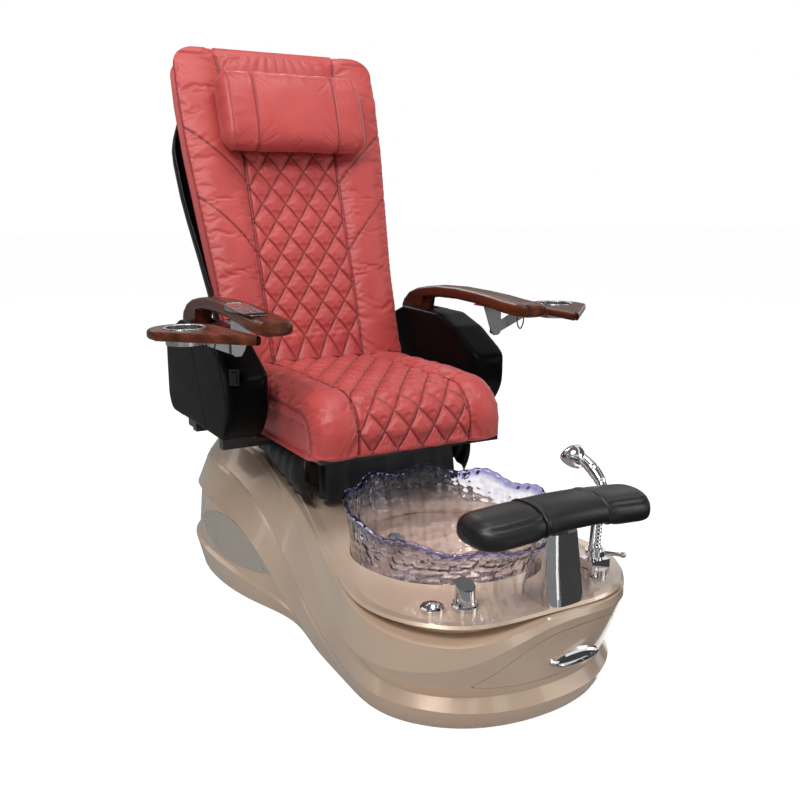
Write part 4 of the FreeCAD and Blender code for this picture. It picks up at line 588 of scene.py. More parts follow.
def inflate(grid, held, pressure, cap, slack):
    """Cloth run on a closed grid: points in held stay, the rest swell by at most cap."""
    rows, columns = grid.shape[:2]
    mesh = bpy.data.meshes.new("swell")
    mesh.from_pydata((grid.reshape(-1, 3) * MM).tolist(), [], grid_faces(rows, columns, True, True))
    face_outward(mesh)
    thing = place_object("swell", mesh)
    group = thing.vertex_groups.new(name="held")
    group.add([int(i) for i in np.flatnonzero(held.reshape(-1))], 1.0, "REPLACE")
    cloth = thing.modifiers.new("cloth", "CLOTH")
    rule = cloth.settings
    rule.quality = 4
    rule.mass = 0.3
    rule.tension_stiffness = 12
    rule.compression_stiffness = 12
    rule.shear_stiffness = 5
    rule.bending_stiffness = 0.3
    rule.vertex_group_mass = "held"
    rule.pin_stiffness = 1.0
    rule.shrink_min = -slack
    rule.use_pressure = True
    rule.uniform_pressure_force = pressure
    rule.effector_weights.gravity = 0
    cloth.point_cache.frame_start = 1
    cloth.point_cache.frame_end = SETTLE_FRAMES + 5
    for step in range(1, SETTLE_FRAMES + 1):
        bpy.context.scene.frame_set(step)
    shown = thing.evaluated_get(bpy.context.evaluated_depsgraph_get())
    moved = np.empty(rows * columns * 3)
    shown.data.vertices.foreach_get("co", moved)
    bpy.data.objects.remove(thing)
    bpy.context.scene.frame_set(1)
    shift = moved.reshape(grid.shape) / MM - grid
    size = np.linalg.norm(shift, axis=2, keepdims=True)
    return grid + shift * cap * np.tanh(size / cap) / np.maximum(size, 1e-6)


def row_distance(grid, row):
    """Distance of each point from one row, along its own column."""
    step = np.linalg.norm(np.diff(grid, axis=0), axis=2)
    run = np.concatenate([np.zeros((1, grid.shape[1])), np.cumsum(step, 0)])
    return np.abs(run - run[row])


def valley(distance, width):
    return np.exp(-(distance / width) ** 2)


def sample(grid, row, column, ring=True):
    """Point of a grid at fractional places."""
    row = np.clip(row, 0, grid.shape[0] - 1.001)
    low = np.floor(row).astype(int)
    count = grid.shape[1]
    column = np.mod(column, count) if ring else np.clip(column, 0, count - 1.001)
    left = np.floor(column).astype(int)
    right = (left + 1) % count
    a, b = (row - low)[:, None], (column - left)[:, None]
    return ((grid[low, left] * (1 - b) + grid[low, right] * b) * (1 - a)
            + (grid[low + 1, left] * (1 - b) + grid[low + 1, right] * b) * a)


RING = [(math.cos(2 * math.pi * k / 5), math.sin(2 * math.pi * k / 5)) for k in range(5)]
STITCH_LIFT = 0.25


def stitches(name, lines, look, body, pitch=5.2, long=3.6, thick=0.55):
    """Thread stitches along lines, each a pair of arrays of points and outward normals."""
    verts, faces = [], []
    for points, normals in lines:
        run = run_along(points)
        for centre in np.arange(pitch / 2, run[-1] - pitch / 3, pitch):
            ends = [np.array([np.interp(centre + h, run, points[:, k]) for k in range(3)])
                    for h in (-long / 2, long / 2)]
            out = np.array([np.interp(centre, run, normals[:, k]) for k in range(3)])
            along = ends[1] - ends[0]
            length = np.linalg.norm(along)
            if length < 0.3 * long:
                continue
            along /= length
            side = unit(np.cross(along, out))
            out = np.cross(side, along)
            middle = (ends[0] + ends[1]) / 2 + out * STITCH_LIFT
            base = len(verts)
            verts.append(middle - along * long * 0.5 - out * thick)
            for share in (-0.3, 0.3):
                for a, b in RING:
                    verts.append(middle + along * long * share + side * a * thick * 1.2 + out * b * thick)
            verts.append(middle + along * long * 0.5 - out * thick)
            for k in range(5):
                n = (k + 1) % 5
                faces.append((base, base + 1 + n, base + 1 + k))
                faces.append((base + 1 + k, base + 1 + n, base + 6 + n, base + 6 + k))
                faces.append((base + 11, base + 6 + k, base + 6 + n))
    return link_mesh(name, verts, faces, look, body)


def tube(name, lines, radius, look, body, sides=10):
    """Round cord along (points, closed) lines."""
    verts, faces = [], []
    for points, ring in lines:
        points = np.asarray(points, float)
        count = len(points)
        if ring:
            ahead = np.roll(points, -1, 0) - np.roll(points, 1, 0)
        else:
            ahead = np.gradient(points, axis=0)
        ahead = units(ahead)
        hint = np.array([0.0, 0.0, 1.0]) if abs(ahead[0][2]) < 0.9 else np.array([1.0, 0, 0])
        base = len(verts)
        for point, way in zip(points, ahead):
            side = unit(np.cross(way, hint))
            hint = np.cross(side, way)
            for k in range(sides):
                turn = 2 * math.pi * k / sides
                verts.append(point + radius * (side * math.cos(turn) + hint * math.sin(turn)))
        for i in range(count if ring else count - 1):
            here, ahead_row = base + i * sides, base + (i + 1) % count * sides
            for k in range(sides):
                n = (k + 1) % sides
                faces.append((here + k, here + n, ahead_row + n, ahead_row + k))
        if not ring:
            faces += [tuple(base + k for k in face) for face in end_faces(count, sides)]
    return link_mesh(name, verts, faces, look, body)


def smooth_loop(points, count, passes=2):
    """Open polyline resampled evenly and softened, ends kept."""
    points = np.asarray(points, float)
    run = run_along(points)
    at = np.linspace(0, run[-1], count)
    line = np.stack([np.interp(at, run, points[:, k]) for k in range(points.shape[1])], 1)
    return softened(line, passes)


def softened(line, passes):
    for _ in range(passes):
        line[1:-1] = (line[:-2] + 2 * line[1:-1] + line[2:]) / 4
    return line


def cushion_side(table, step):
    """Even reading of (distance in from the widest line, sink) pairs."""
    table = np.asarray(table, float)
    run = run_along(table)
    at = np.linspace(0, run[-1], max(2, int(run[-1] / step)))
    return [(np.interp(a, run, table[:, 0]), np.interp(a, run, table[:, 1])) for a in at]


def ripples(a, b, seeds, size):
    """Soft creases: ridges at listed places that run across a and fade along b."""
    total = np.zeros_like(a)
    for place, width, slope, reach, height in seeds:
        ridge = np.exp(-((a - place - slope * b) / width) ** 2)
        total += height * ridge * np.clip(1 - b / reach, 0, 1) ** 1.3
    return total * size


# Seat cushion: quilted middle with plain bolsters, boxed sides with a sewn welt

FINE = 8
SCALE = 2 * FINE
SEAT_HALF = 252.0
SEAT_FRONT = -248.0
SEAT_REAR = 280.0
SEAT_LOW = 425.4
SEAT_TOP = 572.0
SEAT_QUILT = 148.0
SEAT_CELLS = 9
SEAT_STEPS = 13
KNEE = 96.0
KNEE_LEVEL = SEAT_TOP - KNEE - 2.5
SEAT_FLAT = SEAT_REAR - 8 - (SEAT_FRONT + KNEE)
SEAT_BEND = KNEE * math.pi / 2
SEAT_RUN = SEAT_FLAT + SEAT_BEND + KNEE_LEVEL - SEAT_LOW - 14
SEAT_LAST = SEAT_STEPS * FINE
QUILT_RISE = 6.5
SEAM_DEEP = 2.6
SEAT_RIM_DEEP = 3.4
SEAT_WELT_DEEP = 2.4
SHARES_IN = (0.06, 0.35, 0.7)
SEAT_CREASES = [(1.2, 0.22, 0.6, 0.9, 0.8), (2.2, 0.16, -0.5, 0.8, 0.7), (3.3, 0.2, 0.7, 1.0, 1.0),
                (4.7, 0.25, -0.3, 0.7, 0.7), (6.6, 0.2, 0.5, 0.7, 0.6), (9.6, 0.18, -0.9, 0.9, 1.1),
                (10.5, 0.16, 0.4, 0.8, 1.2), (11.3, 0.14, -0.2, 0.9, 1.3)]


def seat_path(at, sink):
    """(y, z, way out) of the sewn face at a run from its rear edge."""
    if at <= SEAT_FLAT:
        spot, out = (SEAT_REAR - 8 - at, SEAT_TOP - 6 * (at / SEAT_FLAT - 0.35) ** 2), (0, 1)
    elif at <= SEAT_FLAT + SEAT_BEND:
        turn = (at - SEAT_FLAT) / KNEE
        out = (-math.sin(turn), math.cos(turn))
        spot = (SEAT_FRONT + KNEE + KNEE * out[0], KNEE_LEVEL + KNEE * out[1])
    else:
        spot, out = (SEAT_FRONT, KNEE_LEVEL - (at - SEAT_FLAT - SEAT_BEND)), (-1, 0)
    return spot[0] - sink * out[0], spot[1] - sink * out[1], out


def seat_loop(sink, crown):
    """Closed loop in (y, z): the sewn top first, then under the seat and up its rear."""
    top = []
    low = SEAT_LOW + max(sink - 34, 0) * 0.25
    near, far = SEAT_FRONT + sink, SEAT_REAR - sink
    for k in range(SEAT_LAST + 1):
        y, z, out = seat_path(k * SEAT_RUN / SEAT_LAST, sink)
        rise = crown * math.sin(math.pi * (k + 6) / (SEAT_LAST + 12))
        top.append((min(y, far - 4) + rise * out[0], max(z, low + 6) + rise * out[1]))
    rest = [top[-1], (near + 1, low + 12), (near + 8, low + 4), (near + 26, low), (60, low),
            (far - 60, low), (far - 6, low), (far, low + 14), (far, SEAT_TOP - 26 - sink), top[0]]
    return np.array(top + smooth_loop(rest, 74)[1:-1].tolist())


def quilt(cu, cv, cells, steps):
    """(rise, seam distance, inside) of a diamond quilt; seams run where cu+cv or cu-cv is even."""
    first, second = cu + cv, cu - cv
    rise = np.abs(np.sin(math.pi * first / 2) * np.sin(math.pi * second / 2)) ** 0.55
    away = np.minimum(np.abs((first + 1) % 2 - 1), np.abs((second + 1) % 2 - 1))
    rise = rise * np.clip(np.minimum(cu, cells - cu) * 3.2, 0, 1) ** 0.5
    inside = (cu >= -1e-6) & (cu <= cells + 1e-6) & (cv >= 0) & (cv <= steps)
    return np.where(inside, rise, 0), np.where(inside, away, 9.0), inside


def pinned(away, cv, border, quilted, welt):
    """Points that a cloth run holds: quilt seams, borders, welts, the plain rear and the ends."""
    held = (away < 0.02) | (cv < 0)
    for row in (border, border + quilted - 1, welt, -1 - welt):
        held[row] = True
    held[:3] = held[-3:] = True
    return held


def seam_marks(grid, cu, cv, cells, steps, spacing, border, quilted, welt):
    """(quilt seams, borders, welts, sewn side): 1 on the thread, falling off beside it."""
    cu[:border] = cu[border + quilted:] = -1
    _, away, inside = quilt(cu, cv, cells, steps)
    across = 1 / math.sqrt(1 / spacing[0] ** 2 + 1 / spacing[1] ** 2)
    sewn = cv >= 0
    seam = np.where(inside, valley(away * across, 2.2), 0)
    rims = sum(valley(row_distance(grid, r), 3.0) for r in (border, border + quilted - 1))
    welts = sum(valley(row_distance(grid, r), 2.6) for r in (welt, len(grid) - 1 - welt))
    return seam, np.where(sewn, rims, 0), np.where(sewn, welts, 0), sewn


def seat_rows():
    """(x, sink, crown, cu, share of the section) from one side to the other."""
    edge = cushion_side([(-9, 72), (-4.5, 62), (-1.5, 51), (0, 40)], 5)
    over = cushion_side([(0, 40), (-3, 30), (-9, 19), (-18, 10), (-30, 3), (-46, -2), (-70, -3),
                         (-92, 0), (-99, 2), (-104, 4)], 5)
    rows = [(SEAT_HALF - 10, 72, 0, -1, t) for t in SHARES_IN]
    rows += [(SEAT_HALF + x, s, 0, -1, 1) for x, s in edge]
    welt = len(rows) - 1
    for x, s in over[1:-1]:
        rows.append((SEAT_HALF + x, s, 8 * min(1, (-x / 40)) * min(1, (x + 104) / 30 + 0.1), -1, 1))
    border = len(rows)
    count = SEAT_CELLS * FINE
    quilted = []
    for k in range(count + 1):
        sink = 4 if k in (0, count) else 1.0
        quilted.append((SEAT_QUILT * (1 - 2 * k / count), sink, 0, SEAT_CELLS - k / FINE, 1))
    other = [(-x, s, c, cu, t) for x, s, c, cu, t in reversed(rows)]
    return rows + quilted + other, welt, border, len(quilted)


def build_seat():
    rows, welt, border, quilted = seat_rows()
    grid = []
    for x, sink, crown, _, share in rows:
        loop = seat_loop(sink, crown)
        if share < 1:
            spine = np.stack([np.clip(loop[:, 0], SEAT_FRONT + 70, SEAT_REAR - 70),
                              np.full(len(loop), (SEAT_TOP + SEAT_LOW) / 2)], 1)
            loop = spine + (loop - spine) * share
        grid.append(np.column_stack([np.full(len(loop), x), loop]))
    grid = np.array(grid)
    cu = np.repeat(np.array([r[3] for r in rows])[:, None], grid.shape[1], 1)
    cv = np.full(grid.shape[:2], -1.0)
    cv[:, :SEAT_LAST + 1] = np.arange(SEAT_LAST + 1) / FINE
    rise, away, _ = quilt(cu, cv, SEAT_CELLS, SEAT_STEPS)
    grid = grid + grid_normals(grid) * (rise * QUILT_RISE)[..., None]
    held = pinned(away, cv, border, quilted, welt)
    grid = inflate(grid, held, pressure=4.0, cap=9.0, slack=0.05)
    grid, cu, cv = [finer_both(v) for v in (grid, cu, cv)]
    cv[:, 2 * SEAT_LAST + 1:] = -1
    border, welt, quilted = 2 * border, 2 * welt, 2 * quilted - 1
    spacing = (2 * SEAT_QUILT / SEAT_CELLS, SEAT_RUN / SEAT_STEPS)
    seam, rims, welts, sewn = seam_marks(grid, cu, cv, SEAT_CELLS, SEAT_STEPS, spacing,
                                         border, quilted, welt)
    out = grid_normals(grid)
    outward = (np.abs(grid[..., 0]) - SEAT_QUILT) / (SEAT_HALF - SEAT_QUILT)
    zone = np.clip(outward * 4, 0, 1) * np.clip((1.04 - outward) * 12, 0, 1) * sewn
    creases = ripples(cv, 1 - outward, SEAT_CREASES, 1.5)
    sunk = SEAM_DEEP * seam + SEAT_RIM_DEEP * rims + SEAT_WELT_DEEP * welts
    grid = grid + out * (creases * zone - sunk)[..., None]
    # Painted shade in the quilt seams, border seams and welt grooves, for the leather's seam attribute.
    painted = np.clip(seam * 0.85 + rims + welts, 0, 1) * 0.75
    piece = link_grid("seat_cushion_soft", grid, RED, "chair", painted)
    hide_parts("seat_cushion")
    return grid, out, border, quilted, welt


def seam_lines(grid, out, first_row, cells, steps):
    """Lines of the diamond seams over a quilted patch of a grid."""
    lines = []
    for total in range(2, cells + steps, 2):
        cu = np.linspace(max(0, total - steps), min(cells, total), 60)
        lines.append((first_row + (cells - cu) * SCALE, (total - cu) * SCALE))
    for gap in range(steps % 2 - steps, cells, 2):
        cu = np.linspace(max(0, gap), min(cells, gap + steps), 60)
        lines.append((first_row + (cells - cu) * SCALE, (cu - gap) * SCALE))
    return [(sample(grid, r, c), sample(out, r, c)) for r, c in lines if r.max() - r.min() > SCALE * 0.5]


def row_line(grid, out, row, start, stop):
    column = np.arange(start, stop, 1.0)
    where = np.full(len(column), float(row))
    return sample(grid, where, column), sample(out, where, column)


def cushion_threads(cushion, cells, steps, stop, beside, within):
    """Stitch lines: the quilt, both sides of its borders, and within the welts."""
    grid, out, border, quilted, welt = cushion
    last = len(grid) - 1
    far = border + quilted - 1
    lines = seam_lines(grid, out, border, cells, steps)
    for row in (border - beside, border + 1.5, far - 1.5, far + beside,
                welt + within, last - welt - within):
        lines.append(row_line(grid, out, row, 2, stop))
    return lines


def sew_seat(cushion):
    grid, out, _, _, welt = cushion
    stop = SEAT_STEPS * SCALE
    lines = cushion_threads(cushion, SEAT_CELLS, SEAT_STEPS, stop, 1.6, 1.7)
    for row in (welt - 1.3, len(grid) - 1 - welt + 1.3):
        lines.append(row_line(grid, out, row, stop * 0.74, stop))
    stitches("seat_stitching", lines, RED_THREAD, "chair")


sew_seat(build_seat())


# Back cushion: drawn upright as (x, depth, height), then leaned

BACK_LONG = 890.0
BACK_THICK = 84.0
BACK_CELLS = 8
BACK_STEPS = 18
BACK_QUILTED = 13
BACK_LAST = BACK_STEPS * FINE
BACK_SPACING = (34.5, 47.0)
BACK_RIM_DEEP = 3.6
BACK_WELT_DEEP = 2.2
CHEVRON_DEEP = 3.0
BACK_HALF = ((0, 230, 440, 600, 740, 830, 890), (262, 268, 285, 298, 303, 301, 296))
BACK_CORNER = 62.0
QUILT_HALF = ((0, 560, 860, 890), (138, 138, 180, 184))
CHEVRONS = [[(300, 650), (262, 618), (210, 572), (172, 535), (138, 497)],
            [(286, 456), (250, 424), (205, 378), (170, 338), (138, 298)]]
BACK_CREASES = [(1.0, 0.16, 0.8, 0.9, 0.8), (2.4, 0.2, 0.5, 1.0, 0.9), (3.6, 0.14, 0.9, 0.8, 1.0),
                (5.0, 0.2, 0.3, 0.9, 0.8), (6.9, 0.16, 0.9, 0.7, 1.0), (8.2, 0.13, 1.1, 0.8, 1.1),
                (8.9, 0.12, 1.2, 0.7, 0.9), (11.0, 0.16, 0.8, 0.8, 1.1), (11.9, 0.14, 1.0, 0.9, 1.2),
                (12.8, 0.12, 1.1, 0.7, 1.0), (15.2, 0.2, 0.3, 0.6, 0.6), (16.4, 0.16, -0.4, 0.6, 0.6)]


def leaned(points):
    points = np.asarray(points, float)
    x, v, w = points[..., 0], points[..., 1], points[..., 2]
    return np.stack([x, BACK_FOOT[0] + v * math.cos(LEAN) + w * math.sin(LEAN),
                     BACK_FOOT[1] - v * math.sin(LEAN) + w * math.cos(LEAN)], -1)


def leaned_ways(normals):
    return leaned(normals) - leaned(np.zeros(3))


def back_profile(sink):
    """Closed loop in (depth, height): the front first, then over the top and down the rear."""
    inset = max(0, sink - 4) * 0.9
    low, high = 12 + inset, BACK_LONG - 32 - inset
    front = [(sink, low + (high - low) * k / BACK_LAST) for k in range(BACK_LAST + 1)]
    top, base, rear = BACK_LONG - sink, 2 + sink, BACK_THICK - max(sink, 0) * 0.4
    ease, middle = min(12.0, 0.25 * (rear - sink)), (sink + rear) / 2
    rest = [front[-1], (sink + 0.3 * ease, top - 9), (sink + ease, top), (middle, top + 4),
            (rear - ease, top), (rear, top - 16), (rear, 660), (rear, 220), (rear, base + 20),
            (rear - ease, base), (middle, base - 1), (sink + ease, base), front[0]]
    return np.array(front + smooth_loop(rest, 132, 1)[1:-1].tolist())


def back_rows():
    """(kind of place, value, sink, crown, share of the section, side) from side to side."""
    edge = cushion_side([(-18, 36), (-12, 24), (-6, 14), (0, 4)], 6)
    over = cushion_side([(0, 4), (-1.5, 0), (-4, -2.5), (-10, -4), (-34, -4), (-80, -4), (-110, -1),
                         (-124, 2), (-132, 4)], 5)
    rows = [("in", -19, 36, 0, t, 1) for t in SHARES_IN]
    rows += [("in", x, s, 0, 1, 1) for x, s in edge]
    welt = len(rows) - 1
    for x, s in over[1:-1]:
        rows.append(("share", x / -132.0, s, 8 * min(1, -x / 40) * min(1, (x + 132) / 40 + 0.1), 1, 1))
    border = len(rows)
    count = BACK_CELLS * FINE
    quilted = [("quilt", 1 - 2 * k / count, 4 if k in (0, count) else 1.0, 0, 1, 1)
               for k in range(count + 1)]
    other = [(*row[:5], -1) for row in reversed(rows)]
    return rows + quilted + other, welt, border, len(quilted)


def back_edge(height):
    """Half width of the back at a height, with its round top corners."""
    turn = np.clip((height - (BACK_LONG - BACK_CORNER)) / BACK_CORNER, 0, 0.985)
    return np.interp(height, *BACK_HALF) - BACK_CORNER * (1 - np.sqrt(1 - turn ** 2))


def place_x(kind, value, height, side):
    edge = back_edge(height)
    seam = np.interp(height, *QUILT_HALF)
    if kind == "quilt":
        return value * seam
    if kind == "in":
        return side * (edge + value)
    return side * (edge + (seam - edge) * value)


def back_section(kind, value, sink, crown, share, side):
    """One row of the back: its profile, crowned below and flat at the top, at its place across."""
    loop = back_profile(sink)
    if share < 1:
        spine = np.stack([np.full(len(loop), BACK_THICK / 2 + 3),
                          np.clip(loop[:, 1], 60, BACK_LONG - 60)], 1)
        loop = spine + (loop - spine) * share
    depth, height = loop[:, 0].copy(), loop[:, 1]
    tuck = 12 * np.clip((depth - 14) / 40, 0, 1)
    front = slice(0, BACK_LAST + 1)
    level = np.clip((height[front] - 770) / 80, 0, 1)
    bow = np.sin(math.pi * (np.arange(BACK_LAST + 1) + 5) / (BACK_LAST + 10))
    depth[front] -= crown * bow * (1 - level)
    depth[front] += max(0.0, 1 - sink) * level
    top = BACK_LONG - 1
    height = np.where(height > top, np.minimum(height, top + 0.2 * (height - top)), height)
    x = place_x(kind, value, height, side) * (1 - tuck / 300)
    return np.column_stack([x, depth, height])


def build_back():
    rows, welt, border, quilted = back_rows()
    grid = np.array([back_section(*row) for row in rows])
    grid[..., 2] -= 25 * np.clip(1 - grid[..., 2] / 60, 0, 1)
    cu = np.full(grid.shape[:2], -1.0)
    cu[border:border + quilted] = (BACK_CELLS - np.arange(quilted) / FINE)[:, None]
    cv = np.full(grid.shape[:2], -1.0)
    cv[:, :BACK_LAST + 1] = np.arange(BACK_LAST + 1) / FINE
    rise, away, _ = quilt(cu, cv, BACK_CELLS, BACK_QUILTED)
    grid[..., 1] -= rise * QUILT_RISE
    held = pinned(away, cv, border, quilted, welt) | (grid[..., 2] > 874)
    grid = inflate(grid, held, pressure=4.0, cap=8.0, slack=0.018)
    grid, cu, cv = [finer_both(v) for v in (grid, cu, cv)]
    cv[:, 2 * BACK_LAST + 1:] = -1
    outside = np.abs(grid[..., 0]) - np.interp(grid[..., 2], *QUILT_HALF)
    grid[..., 2] -= 7 * np.clip((grid[..., 2] - 850) / 40, 0, 1) * np.clip(outside / 14, 0, 1)
    border, welt, quilted = 2 * border, 2 * welt, 2 * quilted - 1
    seam, rims, welts, sewn = seam_marks(grid, cu, cv, BACK_CELLS, BACK_QUILTED, BACK_SPACING,
                                         border, quilted, welt)
    x, height = np.abs(grid[..., 0]), grid[..., 2]
    quilt_edge = np.interp(height, *QUILT_HALF)
    chevrons = sum(valley(line_distance(x, height, line), 2.6) for line in CHEVRONS)
    chevrons = np.where(sewn & (x > quilt_edge), chevrons, 0)
    out = grid_normals(grid)
    edge = back_edge(height)
    inward = (edge - x) / np.maximum(edge - quilt_edge, 1)
    zone = np.clip((inward - 0.02) * 10, 0, 1) * np.clip((1 - inward) * 5, 0, 1) * sewn
    creases = ripples(cv, np.clip(inward, 0, 1), BACK_CREASES, 1.3)
    sunk = SEAM_DEEP * seam + BACK_RIM_DEEP * rims + BACK_WELT_DEEP * welts + CHEVRON_DEEP * chevrons
    grid = grid + out * (creases * zone - sunk)[..., None]
    # Painted shade in the quilt, border, welt and chevron seam grooves, for the leather's seam attribute.
    painted = np.clip(seam * 0.85 + rims + welts + chevrons, 0, 1) * 0.75
    piece = link_grid("back_cushion_soft", leaned(grid), RED, "back", painted)
    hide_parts("back_cushion")
    return grid, out, border, quilted, welt


def line_distance(x, y, line):
    """Distance of points from a broken line."""
    best = np.full(x.shape, 1e9)
    for (x0, y0), (x1, y1) in zip(line, line[1:]):
        dx, dy = x1 - x0, y1 - y0
        t = np.clip(((x - x0) * dx + (y - y0) * dy) / (dx * dx + dy * dy), 0, 1)
        best = np.minimum(best, np.hypot(x - x0 - t * dx, y - y0 - t * dy))
    return best


def chevron_thread(front, front_out, side, chevron, shift):
    """Stitch line beside a chevron seam, from the nearest points of the back's front."""
    points, normals = [], []
    for x, height in smooth_loop(chevron, 44, 3):
        if np.interp(height, *QUILT_HALF) + 4 < x < back_edge(height) - 3:
            away = (front[:, 0] - side * x) ** 2 + (front[:, 2] - height - shift) ** 2
            near = np.argmin(away)
            points.append(front[near])
            normals.append(front_out[near])
    return smooth_loop(points, 160, 30), smooth_loop(normals, 160, 10)


def sew_back(cushion):
    grid, out = cushion[:2]
    stop = BACK_STEPS * SCALE
    lines = cushion_threads(cushion, BACK_CELLS, BACK_QUILTED, stop, 1.5, 1.8)
    front, front_out = grid[:, :stop].reshape(-1, 3), out[:, :stop].reshape(-1, 3)
    for side in (-1, 1):
        for chevron in CHEVRONS:
            for shift in (-3.0, 3.0):
                lines.append(chevron_thread(front, front_out, side, chevron, shift))
    lines = [(leaned(points), leaned_ways(normals)) for points, normals in lines]
    stitches("back_stitching", lines, RED_THREAD, "back")


sew_back(build_back())


# Pillow: a soft box with sewn seams and welted end panels

PILLOW_HALF = 214.0
PILLOW_TALL = 226.0
PILLOW_THICK = 92.0
PILLOW_PLACE = (0, -8.6 - PILLOW_THICK / 2, 565.0 + PILLOW_TALL / 2)
PILLOW_WELT = 187.0
PILLOW_SEAM = 118.0
PILLOW_ROWS = 60
PILLOW_CREASES = [(-1.8, 0.3, 2.0, 0.8, 0.8), (-0.6, 0.25, 1.5, 0.7, 0.9), (0.7, 0.25, -1.4, 0.8, 0.9),
                  (1.9, 0.3, -2.0, 0.7, 0.8)]
PILLOW_FOLDS = [(-2.1, 0.25, 0.4, 0.8, 1.0), (-0.4, 0.2, -0.3, 0.9, 1.1), (0.5, 0.22, 0.5, 0.8, 0.9),
                (2.3, 0.25, -0.5, 0.8, 0.8)]


def pillow_grid():
    caps = [(PILLOW_HALF * x, t, g) for x, t, g in ((0.99, 0.05, 0.93), (0.985, 0.35, 0.93),
                                                   (0.958, 0.66, 0.93), (0.915, 0.88, 0.95))]
    rows = list(caps)
    for k in range(PILLOW_ROWS + 1):
        share = 1 - 2 * k / PILLOW_ROWS
        rows.append((share * PILLOW_WELT, 1.0, 1 - 0.05 * abs(share) ** 3))
    rows += [(-x, t, g) for x, t, g in reversed(caps)]
    turn = turns(96)
    grid = []
    for x, share, grow in rows:
        v = squared(np.cos(turn), 2 / 3) * PILLOW_THICK / 2 * grow
        w = squared(np.sin(turn), 2 / 3) * PILLOW_TALL / 2 * grow ** 0.5
        spine = np.clip(w, -PILLOW_TALL / 2 + 50, PILLOW_TALL / 2 - 50)
        grid.append(np.column_stack([np.full(len(turn), x), v * share, spine + (w - spine) * share]))
    return np.array(grid) * (1, 0.94, 0.965)


def build_pillow():
    grid = pillow_grid()
    seams = [4 + round(PILLOW_ROWS * (1 - s * PILLOW_SEAM / PILLOW_WELT) / 2) for s in (1, -1)]
    welts = [4, 4 + PILLOW_ROWS]
    held = np.zeros(grid.shape[:2], bool)
    held[welts + seams] = True
    held[:2] = held[-2:] = True
    grid = inflate(grid, held, pressure=3.0, cap=5.0, slack=0.004)
    grid = finer(finer_both(grid), 0, False)
    seams, welts = [4 * r for r in seams], [4 * r for r in welts]
    out = grid_normals(grid)
    lines = sum(valley(row_distance(grid, r), 2.6) for r in seams)
    ends = sum(valley(row_distance(grid, r), 2.4) for r in welts)
    height = grid[..., 2]
    inner = np.clip(1 - np.abs(grid[..., 0]) / PILLOW_WELT, 0, 1)
    creases = ripples(height / 40, inner, PILLOW_CREASES, 1.2)
    below = np.clip((95 - height) / 60, 0, 1) + (height < 0) * 1.0
    creases += ripples(grid[..., 0] / 40, below, PILLOW_FOLDS, 1.4)
    grid = grid + out * (-SEAM_DEEP * lines - 1.6 * ends + creases)[..., None]
    grid[..., 1] = np.minimum(grid[..., 1], PILLOW_THICK / 2 - 0.4)
    world, ways = leaned(grid + PILLOW_PLACE), leaned_ways(out)
    # The seam attribute carries painted shade along the pillow's seams and welts.
    piece = link_grid("pillow_soft", world, RED, "back", np.clip(lines + ends, 0, 1) * 0.7)
    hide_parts("pillow")
    tube("pillow_welts", [(world[row] + ways[row] * 1.2, True) for row in welts], 2.6, RED, "back")
    threads = [row_line(world, ways, row + shift, 0, grid.shape[1])
               for row in seams for shift in (-3.2, 3.2)]
    stitches("pillow_stitching", threads, RED_THREAD, "back")


build_pillow()


# Leg rest pad and the leather band wrapped round it

PAD_PLACE = (50.0, -706.0)
PAD_HALF = 215.0
PAD_DEEP = 128.0
PAD_LOW = 388.0
PAD_THICK = 44.0
PAD_AROUND = 96
PAD_GIRTH = 420
PAD_CAPS = ((0.75, 0.8), (0.4, 1.3), (0.1, 1.5))


def pad_section(share, grow):
    """Section of the pad: fuller and lower in its wings, with round ends and a drooping front."""
    wing = abs(share)
    full = np.clip((wing - 0.33) / 0.16, 0, 1) * (2 - np.clip((wing - 0.33) / 0.16, 0, 1))
    plan = math.sqrt(max(0.0, 1 - max(0.0, (wing - 0.72) / 0.28) ** 2.3))
    end = math.sqrt(max(0.0, 1 - max(0.0, (wing - 0.84) / 0.16) ** 2.1))
    x = PAD_PLACE[0] + share * (PAD_HALF - 0.4 * grow)
    middle = PAD_PLACE[1] - 12 * math.cos(wing * math.pi / 2) + 5
    level = PAD_LOW + PAD_THICK / 2 + 3 + 5 * math.cos(wing * math.pi) - 3 * full - 5 * wing ** 3
    turn = turns(PAD_AROUND)
    deep = (PAD_DEEP / 2 - 5 + 6 * full + grow) * (0.12 + 0.88 * plan)
    thick = (PAD_THICK / 2 + 1 + 7 * full + grow) * (0.12 + 0.88 * end)
    y = squared(np.cos(turn), 2 / 2.5) * deep
    z = squared(np.sin(turn), 2 / 2.5) * thick
    front, rear = np.clip(-y / max(deep, 1), 0, 1), np.clip(y / max(deep, 1), 0, 1)
    sag = -9 * front ** 2 - 4 * rear ** 2
    return np.column_stack([np.full(PAD_AROUND, x), middle + y, level + z + sag * plan])


def pad_cap(ring, side):
    """Rings that close one end of the pad, from the wide one to the small one."""
    middle = np.mean(ring, 0)
    return [middle + (ring - middle) * share + (side * reach, 0, 0) for share, reach in PAD_CAPS]


